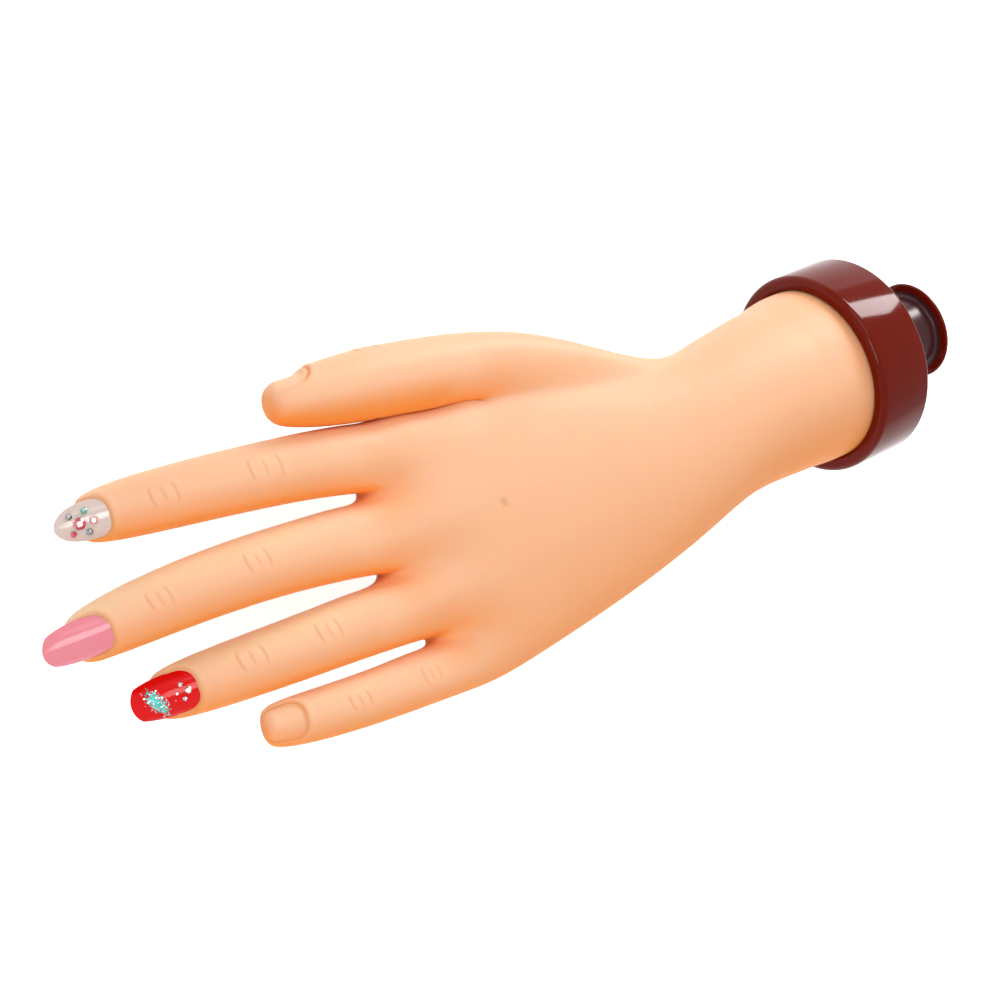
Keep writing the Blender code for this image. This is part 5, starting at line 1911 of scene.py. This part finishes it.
@dataclass
class NailTrim(Assembly):
    """The stones, studs, beads and flakes glued on the index and ring nail tips."""

    tips: dict[Digit, NailTip]
    stones: tuple[GemPlace, ...] = (
        GemPlace(0.30, 0.00, 0.75, Finish.ROSE), GemPlace(0.42, -0.45, 0.60, Finish.SMOKE),
        GemPlace(0.42, 0.45, 0.60, Finish.LEAF), GemPlace(0.55, 0.00, 1.00, Finish.RUBY),
        GemPlace(0.70, -0.38, 0.55, Finish.RUBY), GemPlace(0.70, 0.38, 0.55, Finish.SMOKE),
    )
    studs: tuple[GemPlace, ...] = (
        GemPlace(0.16, 0.00, 1.00, Finish.SILVER), GemPlace(0.25, -0.30, 0.75, Finish.SILVER),
        GemPlace(0.25, 0.30, 0.75, Finish.SILVER), GemPlace(0.34, 0.00, 0.60, Finish.SILVER),
    )
    stone: GemKind = GemKind(1.4 * MM, 1.0 * MM, Slot.STONE, "index_gem", "index_stone")
    stud: GemKind = GemKind(0.8 * MM, 0.6 * MM, Slot.STUD, "ring_gem", "ring_stud")
    cut_shares: tuple[Span, ...] = (
        (0.0, 0.0), (0.0, 0.96), (0.22, 1.0), (0.34, 1.0), (0.78, 0.66), (1.0, 0.50), (1.0, 0.0),
    )
    facets: int = 12
    facet_deg: float = 8.0
    sunk: float = 0.02 * MM
    hub: int = 3
    beads: int = 14
    bead_radius: float = 0.22 * MM
    bead_pitch: float = 1.1
    smooth_deg: float = 60.0
    flakes: int = 420
    flake_shares: tuple[tuple[Finish, float, float], ...] = (
        (Finish.TEAL, 0.68, 1.0), (Finish.SILVER, 0.32, 1.5),
    )
    flake_centre: Span = (0.68, -0.10)
    flake_slant: float = 0.12
    flake_spread: Span = (0.050, 0.26)
    flake_sizes: Span = (0.13, 0.25)
    flake_lean: float = 0.30
    flake_limit: float = 0.93
    flake_taper: float = 0.9
    flake_depth: float = 0.05 * MM
    flake_deg: float = 20.0
    seed: int = 7

    def gem_frame(self, tip: NailTip, along: float, across: float) -> Matrix:
        """Works out the frame of a stone on a nail.

        Args:
            tip: The nail tip.
            along: The stone's place along the nail, as a share of its length.
            across: Its place across the nail, as a share of half its arc.

        Returns:
            The frame, whose x axis points out of the nail.
        """
        seat = tip.seat
        angle = seat.half_angle * across
        share = (seat.length * along + seat.root) / (seat.length + seat.root)
        droop = tip.shape.droop * share**tip.shape.bend_power
        foot = seat.point(seat.length * along, angle, droop - self.sunk)
        return frame_at(foot, seat.outward(angle), seat.along)

    def set_stones(self, tip: NailTip, places: tuple[GemPlace, ...], kind: GemKind) -> None:
        """Builds the cut stones of one kind.

        Args:
            tip: The nail tip that they are glued on.
            places: Where they lie.
            kind: What they are.
        """
        for number, place in enumerate(places, start=1):
            size = kind.radius * place.size
            profile = [(kind.height * up, size * out) for up, out in self.cut_shares]
            bm = spun(profile, self.gem_frame(tip, place.along, place.across), self.facets)
            name = f"{kind.piece}_{number}"
            mesh = finished_mesh(bm, name, self.stand, self.facet_deg)
            self.add_rigid(name, mesh, place.finish, kind.slot, tip.body, f"{kind.node}_{number}")

    def set_beads(self) -> None:
        """Sets a row of tiny metal beads round the index nail's large stone."""
        tip = self.tips[Digit.INDEX]
        bm = bmesh.new()
        hub = self.stones[self.hub]
        reach = self.stone.radius * hub.size + self.bead_radius * self.bead_pitch
        half_arc = tip.seat.radius * tip.seat.half_angle
        for number in range(self.beads):
            angle = math.tau * number / self.beads
            along = hub.along + reach * math.cos(angle) / tip.seat.length
            frame = self.gem_frame(tip, along, reach * math.sin(angle) / half_arc)
            bmesh.ops.create_icosphere(bm, subdivisions=2, radius=self.bead_radius, matrix=frame)
        mesh = finished_mesh(bm, "index_beads", self.stand, self.smooth_deg)
        self.add_rigid("index_beads", mesh, Finish.SILVER, Slot.STUD, tip.body)

    def scatter_flakes(self) -> None:
        """Scatters teal and silver flakes in a slanting band near the ring nail's free edge."""
        tip = self.tips[Digit.RING]
        chance = np.random.default_rng(self.seed)
        middle, offset = self.flake_centre
        for finish, share, loose in self.flake_shares:
            bm = bmesh.new()
            for _ in range(int(self.flakes * share)):
                drift = chance.normal(0.0, self.flake_spread[0])
                across = chance.normal(offset, self.flake_spread[1])
                along = middle + self.flake_slant * across + drift * loose
                size = chance.uniform(*self.flake_sizes) * MM
                turn = chance.uniform(0.0, math.tau)
                lean = chance.normal(0.0, self.flake_lean, 2)
                frame = self.gem_frame(tip, min(along, self.flake_limit), across)
                tilt = Matrix.Rotation(lean[0], 4, "Y") @ Matrix.Rotation(lean[1], 4, "Z")
                flat = Matrix.Rotation(math.pi / 2, 4, "Y") @ Matrix.Rotation(turn, 4, "Z")
                bmesh.ops.create_cone(
                    bm, cap_ends=True, segments=6, radius1=size, radius2=size * self.flake_taper,
                    depth=self.flake_depth, matrix=frame @ tilt @ flat,
                )
            name = f"ring_flakes_{finish.value}"
            mesh = finished_mesh(bm, name, self.stand, self.flake_deg)
            self.add_rigid(name, mesh, finish, Slot.STUD, tip.body)

    def build(self) -> None:
        """Builds all the trim."""
        self.set_stones(self.tips[Digit.INDEX], self.stones, self.stone)
        self.set_stones(self.tips[Digit.RING], self.studs, self.stud)
        self.set_beads()
        self.scatter_flakes()


# ---- collar, knob and screws

@dataclass
class CollarAndKnob(Assembly):
    """The thick brown collar round the wrist and the knob that swivels behind it; sizes in metres."""

    round_steps: int = 160
    sharp_deg: float = 30.0
    front_lip: float = 1.7 * MM
    back_lip: float = 0.8 * MM
    inner_lip: float = 0.7 * MM
    neck_radius: float = 9.2 * MM
    neck_length: float = 22.0 * MM
    neck_fillet: float = 1.0 * MM
    fillet_steps: int = 5
    knob_soft: float = 0.4 * MM
    flange_radius: float = 12.6 * MM
    flange_thickness: float = 4.0 * MM
    flange_rim: float = 1.0 * MM
    flange_back: float = 8.4 * MM
    shade_radius: float = 10.7 * MM
    shade_past: float = 0.1 * MM
    well_radius: float = 6.2 * MM
    well_depth: float = 16.0 * MM
    spigot_radius: float = 5.0 * MM
    screw_count: int = 3
    screw_circle: float = 15.0 * MM
    screw_turn_deg: float = 94.5
    screw_radius: float = 1.4 * MM
    screw_length: float = 10.0 * MM
    swivel_length: float = 23.0 * MM
    screw_steps: int = 40
    head_radius: float = 2.8 * MM
    head_height: float = 1.6 * MM
    head_soft: float = 0.15 * MM
    crown_shares: tuple[Span, ...] = ((0.45, 1.0), (0.80, 0.84), (0.95, 0.60), (1.0, 0.30), (1.0, 0.0))
    point_share: float = 0.4
    recess_width: float = 0.7 * MM
    recess_reach: float = 1.15
    recess_depth: float = 1.2
    bore_start: float = 1.0 * MM
    bore_length: float = 8.0 * MM
    bore_steps: int = 32
    washer_radius: float = 5.2 * MM
    washer_thickness: float = 1.0 * MM
    washer_soft: float = 0.12 * MM
    washer_steps: int = 64
    knob_item: bpy.types.Object = field(init=False)

    @property
    def axis(self) -> Matrix:
        """The frame whose x axis is the wrist's axis."""
        return Matrix.Translation((0.0, 0.0, HAND.collar_radius))

    @property
    def bore(self) -> float:
        """The radius of the holes that the screws pass through."""
        return self.screw_radius + HAND.clearance

    @property
    def well_floor(self) -> float:
        """Where the well in the back of the knob ends."""
        return HAND.collar_length + self.neck_length + self.flange_thickness - self.well_depth

    @property
    def neck_start(self) -> float:
        """Where the knob's neck starts behind the collar."""
        return HAND.collar_length + HAND.clearance

    @property
    def flange_start(self) -> float:
        """Where the neck ends and its flange starts."""
        return HAND.collar_length + self.neck_length

    def spots(self) -> list[Vector]:
        """Works out where the collar screws' axes meet the collar's back face.

        Returns:
            The places.
        """
        centre = Vector((HAND.collar_length, 0.0, HAND.collar_radius))
        places = []
        for number in range(self.screw_count):
            angle = math.radians(self.screw_turn_deg) + math.tau * number / self.screw_count
            places.append(centre + Vector((0.0, math.cos(angle), math.sin(angle))) * self.screw_circle)
        return places

    def build_collar(self) -> None:
        """Builds the collar with its rounded lips and screw holes."""
        radius, length = HAND.collar_radius, HAND.collar_length
        inner, floor = radius - HAND.collar_wall, length - HAND.collar_back_wall
        hole = self.spigot_radius + HAND.clearance
        front, back, lip = self.front_lip, self.back_lip, self.inner_lip
        profile = arc((front, radius - front), front, -90.0, 0.0, 10)
        profile += arc((length - back, radius - back), back, 0.0, 90.0, 6)
        profile += arc((length - lip / 2, hole + lip / 2), lip / 2, 90.0, 180.0, 3)
        profile += [(floor, hole), (floor, inner)]
        profile += arc((lip, inner + lip), lip, 180.0, 270.0, 5)
        bore, deep = self.bore, self.bore_length
        cutters = []
        for spot in self.spots():
            frame = frame_at(spot - FORWARD * self.bore_start, FORWARD, SIDEWAYS)
            cutters.append(spun([(0.0, 0.0), (0.0, bore), (deep, bore), (deep, 0.0)], frame, self.bore_steps))
        carved = carve(spun(profile, self.axis, self.round_steps), cutters)
        mesh = finished_mesh(carved, "collar_shell", self.stand, self.sharp_deg)
        self.add_rigid("collar_shell", mesh, Finish.BROWN, Slot.BROWN, "hand", "collar")

    def build_knob(self) -> None:
        """Builds the spigot, the neck and its end flange."""
        start, flange, well = self.neck_start, self.flange_start, self.well_floor
        spigot = HAND.collar_length - HAND.collar_back_wall + HAND.clearance
        end = flange + self.flange_thickness
        soft, rim, fillet = self.knob_soft, self.flange_rim / 2, self.neck_fillet
        profile = [(spigot, self.bore), (spigot, self.spigot_radius - soft)]
        profile += [(spigot + soft, self.spigot_radius), (start, self.spigot_radius)]
        profile += arc((start + soft, self.neck_radius - soft), soft, -90.0, 0.0, 4)
        for step in range(self.fillet_steps + 1):
            angle = math.pi / 2 * step / self.fillet_steps
            out = self.neck_radius + fillet * (1.0 - math.cos(angle))
            profile.append((flange - fillet * (1.0 - math.sin(angle)), out))
        profile += [(flange, self.shade_radius)]
        profile += arc((flange + rim, self.flange_radius - rim), rim, -90.0, 60.0, 6)
        profile += arc((end - soft, self.flange_back - soft / 2), soft, 35.0, 90.0, 4)
        profile += arc((end - soft, self.well_radius + soft), soft, 90.0, 180.0, 4)
        profile += [(well, self.well_radius), (well, self.bore)]
        shape = spun(profile, self.axis, self.round_steps)
        mesh = finished_mesh(shape, "knob_shell", self.stand, self.sharp_deg)
        self.knob_item = self.add_rigid("knob_shell", mesh, Finish.BROWN, Slot.BROWN, "knob", "mount_knob")

    def build_screw(self, node: str, foot: Vector, length: float, body: str) -> None:
        """Builds one pan head screw with a cross recess.

        Args:
            node: The node that it stands for.
            foot: Where its axis meets the face under its head.
            length: Its shank's length.
            body: The body that it moves with.
        """
        head, crown, shank = self.head_radius, self.head_height, self.screw_radius
        profile = [(length, 0.0), (length, shank * self.point_share), (length - shank, shank), (0.0, shank)]
        profile += [(0.0, head - self.head_soft), (-self.head_soft, head)]
        profile += [(-crown * high, head * out) for high, out in self.crown_shares]
        frame = frame_at(foot, FORWARD, SIDEWAYS)
        top = frame @ Matrix.Translation((-crown, 0.0, 0.0))
        cutters = []
        reach, narrow = head * self.recess_reach, self.recess_width
        for sizes in ((narrow, reach), (reach, narrow)):
            cutter = bmesh.new()
            bmesh.ops.create_cube(cutter, size=1.0)
            bmesh.ops.scale(cutter, vec=(crown * self.recess_depth, *sizes), verts=cutter.verts)
            bmesh.ops.transform(cutter, matrix=top, verts=cutter.verts)
            cutters.append(cutter)
        carved = carve(spun(profile, frame, self.screw_steps), cutters)
        mesh = finished_mesh(carved, f"{node}_head", self.stand, self.sharp_deg)
        self.add_rigid(f"{node}_head", mesh, Finish.STEEL, Slot.STEEL, body, node)

    def build(self) -> None:
        """Builds the collar, the knob, the washer and the screws."""
        self.build_collar()
        self.build_knob()
        for number, spot in enumerate(self.spots(), start=1):
            foot = spot - FORWARD * HAND.clearance
            self.build_screw(f"collar_screw_{number}", foot, self.screw_length, "hand")
        front = self.well_floor + HAND.clearance
        back = front + self.washer_thickness
        soft, radius = self.washer_soft, self.washer_radius
        ring = [(front, self.bore), (front, radius - soft), (front + soft, radius)]
        ring += [(back - soft, radius), (back, radius - soft), (back, self.bore)]
        shape = spun(ring, self.axis, self.washer_steps)
        mesh = finished_mesh(shape, "washer_ring", self.stand, self.sharp_deg)
        self.add_rigid("washer_ring", mesh, Finish.STEEL, Slot.STEEL, "knob", "swivel_washer")
        foot = Vector((back + HAND.clearance, 0.0, HAND.collar_radius))
        self.build_screw("swivel_screw", foot, self.swivel_length, "knob")

    def dress(self) -> None:
        """Gives every piece its finish, and paints shade on the knob's neck, between the collar and the
        flange, as a darker finish.
        """
        super().dress()
        mesh = self.knob_item.data
        # Painted shade: the neck between the collar and the flange gets the darker brown.
        mesh.materials.append(self.finishes.get(Finish.PAINTED_NECK_SHADE))
        home = self.stand.inverted()
        for polygon in mesh.polygons:
            middle = home @ polygon.center
            out = math.hypot(middle.y, middle.z - HAND.collar_radius)
            on_neck = self.neck_start < middle.x < self.flange_start + self.shade_past
            polygon.material_index = int(on_neck and self.spigot_radius < out < self.shade_radius)


# ---- floor, lights and camera

@dataclass(frozen=True)
class Lamp:
    """A rectangular lamp that faces the hand: where it hangs in the hand's frame, its size and power."""

    name: str
    place: Place
    size: Span
    watts: float
    mirrored: bool = True
    lighting: bool = True


@dataclass
class Studio:
    """A pale floor, soft lamps and the camera at the photograph's viewing angle."""

    stand: Matrix
    focal_pixels: float = 3600.0
    frame_pixels: float = 990.0
    sensor: float = 36.0
    clip_start: float = 10.0 * MM
    camera_axes: tuple[Place, ...] = (
        (0.73365, -0.29714, 0.61112), (0.31900, 0.94467, 0.07637), (-0.6, 0.13892, 0.78785),
    )
    camera_place: Place = (-617.96 * MM, 122.18 * MM, 697.07 * MM)
    lamps: tuple[Lamp, ...] = (
        Lamp("key", (-0.25, 0.75, 0.95), (0.90, 0.70), 4.3),
        Lamp("front", (-0.70, -0.62, 0.55), (0.80, 0.60), 3.6, mirrored=False),
        Lamp("window", (0.50, 0.57, 0.41), (0.46, 0.22), 3.4),
        Lamp("glint", (0.495, 0.565, 0.405), (0.46, 0.22), 7.0, lighting=False),
        Lamp("glow", (-0.438, 0.049, 0.478), (0.24, 0.20), 1.25, lighting=False),
    )
    lamp_aim: Place = (-90.0 * MM, 0.0, 10.0 * MM)
    floor_half: float = 3.0
    floor_colour: Colour = (0.86, 0.86, 0.86)
    floor_roughness: float = 0.9
    floor_shine: float = 0.1
    floor_glow: float = 0.84
    room_colour: Colour = (1.0, 1.0, 1.0)
    room_lit: float = 0.54
    room_seen: float = 1.0

    def set_camera(self) -> None:
        """Sets the camera at the photograph's viewing angle."""
        place = Matrix(self.camera_axes).transposed().to_4x4()
        place.translation = self.camera_place
        lens = bpy.data.cameras.new("photo_camera")
        lens.sensor_width = self.sensor
        lens.lens = self.focal_pixels * self.sensor / self.frame_pixels
        lens.clip_start = self.clip_start
        item = link_object("photo_camera", lens)
        item.matrix_world = self.stand @ place
        bpy.context.scene.camera = item

    def hang_lamp(self, lamp: Lamp) -> None:
        """Hangs a lamp that faces the hand.

        Args:
            lamp: The lamp; it can be kept out of mirror images, or light nothing but them.
        """
        light = bpy.data.lights.new(lamp.name, "AREA")
        light.shape = "RECTANGLE"
        light.size, light.size_y = lamp.size
        light.energy = lamp.watts
        item = link_object(lamp.name, light)
        item.visible_glossy = lamp.mirrored
        item.visible_diffuse = lamp.lighting
        item.visible_camera = False
        place = Vector(lamp.place)
        turned = (place - Vector(self.lamp_aim)).to_track_quat("Z", "Y").to_matrix().to_4x4()
        item.matrix_world = self.stand @ Matrix.Translation(place) @ turned

    def lay_floor(self) -> None:
        """Lays the floor, which looks white and keeps the hand's shadow."""
        bm = bmesh.new()
        bmesh.ops.create_grid(bm, x_segments=1, y_segments=1, size=self.floor_half)
        mesh = plain_mesh(bm, "floor")
        made, tree, shader = new_material("white_paper")
        set_inputs(
            shader, Base_Color=(*self.floor_colour, 1.0), Roughness=self.floor_roughness,
            Specular_IOR_Level=self.floor_shine, Emission_Color=(*self.room_colour, 1.0),
            Emission_Strength=when_seen(tree, 0.0, self.floor_glow),
        )
        mesh.materials.append(made)
        link_object("floor", mesh)

    def light_room(self) -> None:
        """Lights the white room round the hand."""
        world = bpy.data.worlds.new("white_room")
        world.use_nodes = True
        tree = world.node_tree
        strength = when_seen(tree, self.room_lit, self.room_seen)
        set_inputs(tree.nodes["Background"], Color=(*self.room_colour, 1.0), Strength=strength)
        bpy.context.scene.world = world
        bpy.context.scene.view_settings.view_transform = "Standard"

    def build(self) -> None:
        """Builds the studio."""
        self.set_camera()
        self.lay_floor()
        for lamp in self.lamps:
            self.hang_lamp(lamp)
        self.light_room()


def standing_frame(joints: list[dict]) -> Matrix:
    """Finds the way from the hand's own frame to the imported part's.

    Args:
        joints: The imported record's joints.

    Returns:
        The matrix: the wrist's axis lies on the knob's joint.
    """
    swivel = next(joint for joint in joints if joint["name"] == "knob_swivel")
    along = Vector(swivel["axis"]).normalized()
    upward = along.cross(SIDEWAYS)
    turned = Matrix((along, SIDEWAYS, upward)).transposed().to_4x4()
    return Matrix.Translation(swivel["pos_m"]) @ turned @ Matrix.Translation((0.0, 0.0, -HAND.collar_radius))


INNER_FINISHES = {
    "block_screw_1": Finish.STEEL,
    "block_screw_2": Finish.STEEL,
    "wire_block": Finish.MOULDED,
    "wrist_plug": Finish.MOULDED,
}


def dress_inner_nodes(nodes: dict[str, bpy.types.Object], finishes: Finishes) -> None:
    """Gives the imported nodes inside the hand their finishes."""
    for name, finish in INNER_FINISHES.items():
        finishes.cover(nodes[name], finish)


def main() -> None:
    """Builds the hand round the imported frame, with its floor, lamps and camera."""
    logging.basicConfig(level=logging.INFO, format="%(message)s")
    for item in list(bpy.data.objects):
        bpy.data.objects.remove(item, do_unlink=True)
    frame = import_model()
    stand = standing_frame(frame["joints"])
    finishes = Finishes()
    Studio(stand).build()
    skin = HandSkin(stand, finishes)
    tips = {
        line.sizes.digit: NailTip(stand, finishes, line)
        for line in skin.lines if line.sizes.digit in TIP_SHAPES
    }
    trim = NailTrim(stand, finishes, tips)
    for assembly in (skin, *tips.values(), trim, CollarAndKnob(stand, finishes)):
        assembly.build()
        assembly.dress()
        for piece in assembly.pieces:
            LOG.info("%s has the finish %s", piece.item.name, piece.finish.value)
    dress_inner_nodes(frame["nodes"], finishes)


if __name__ == "__main__":
    main()
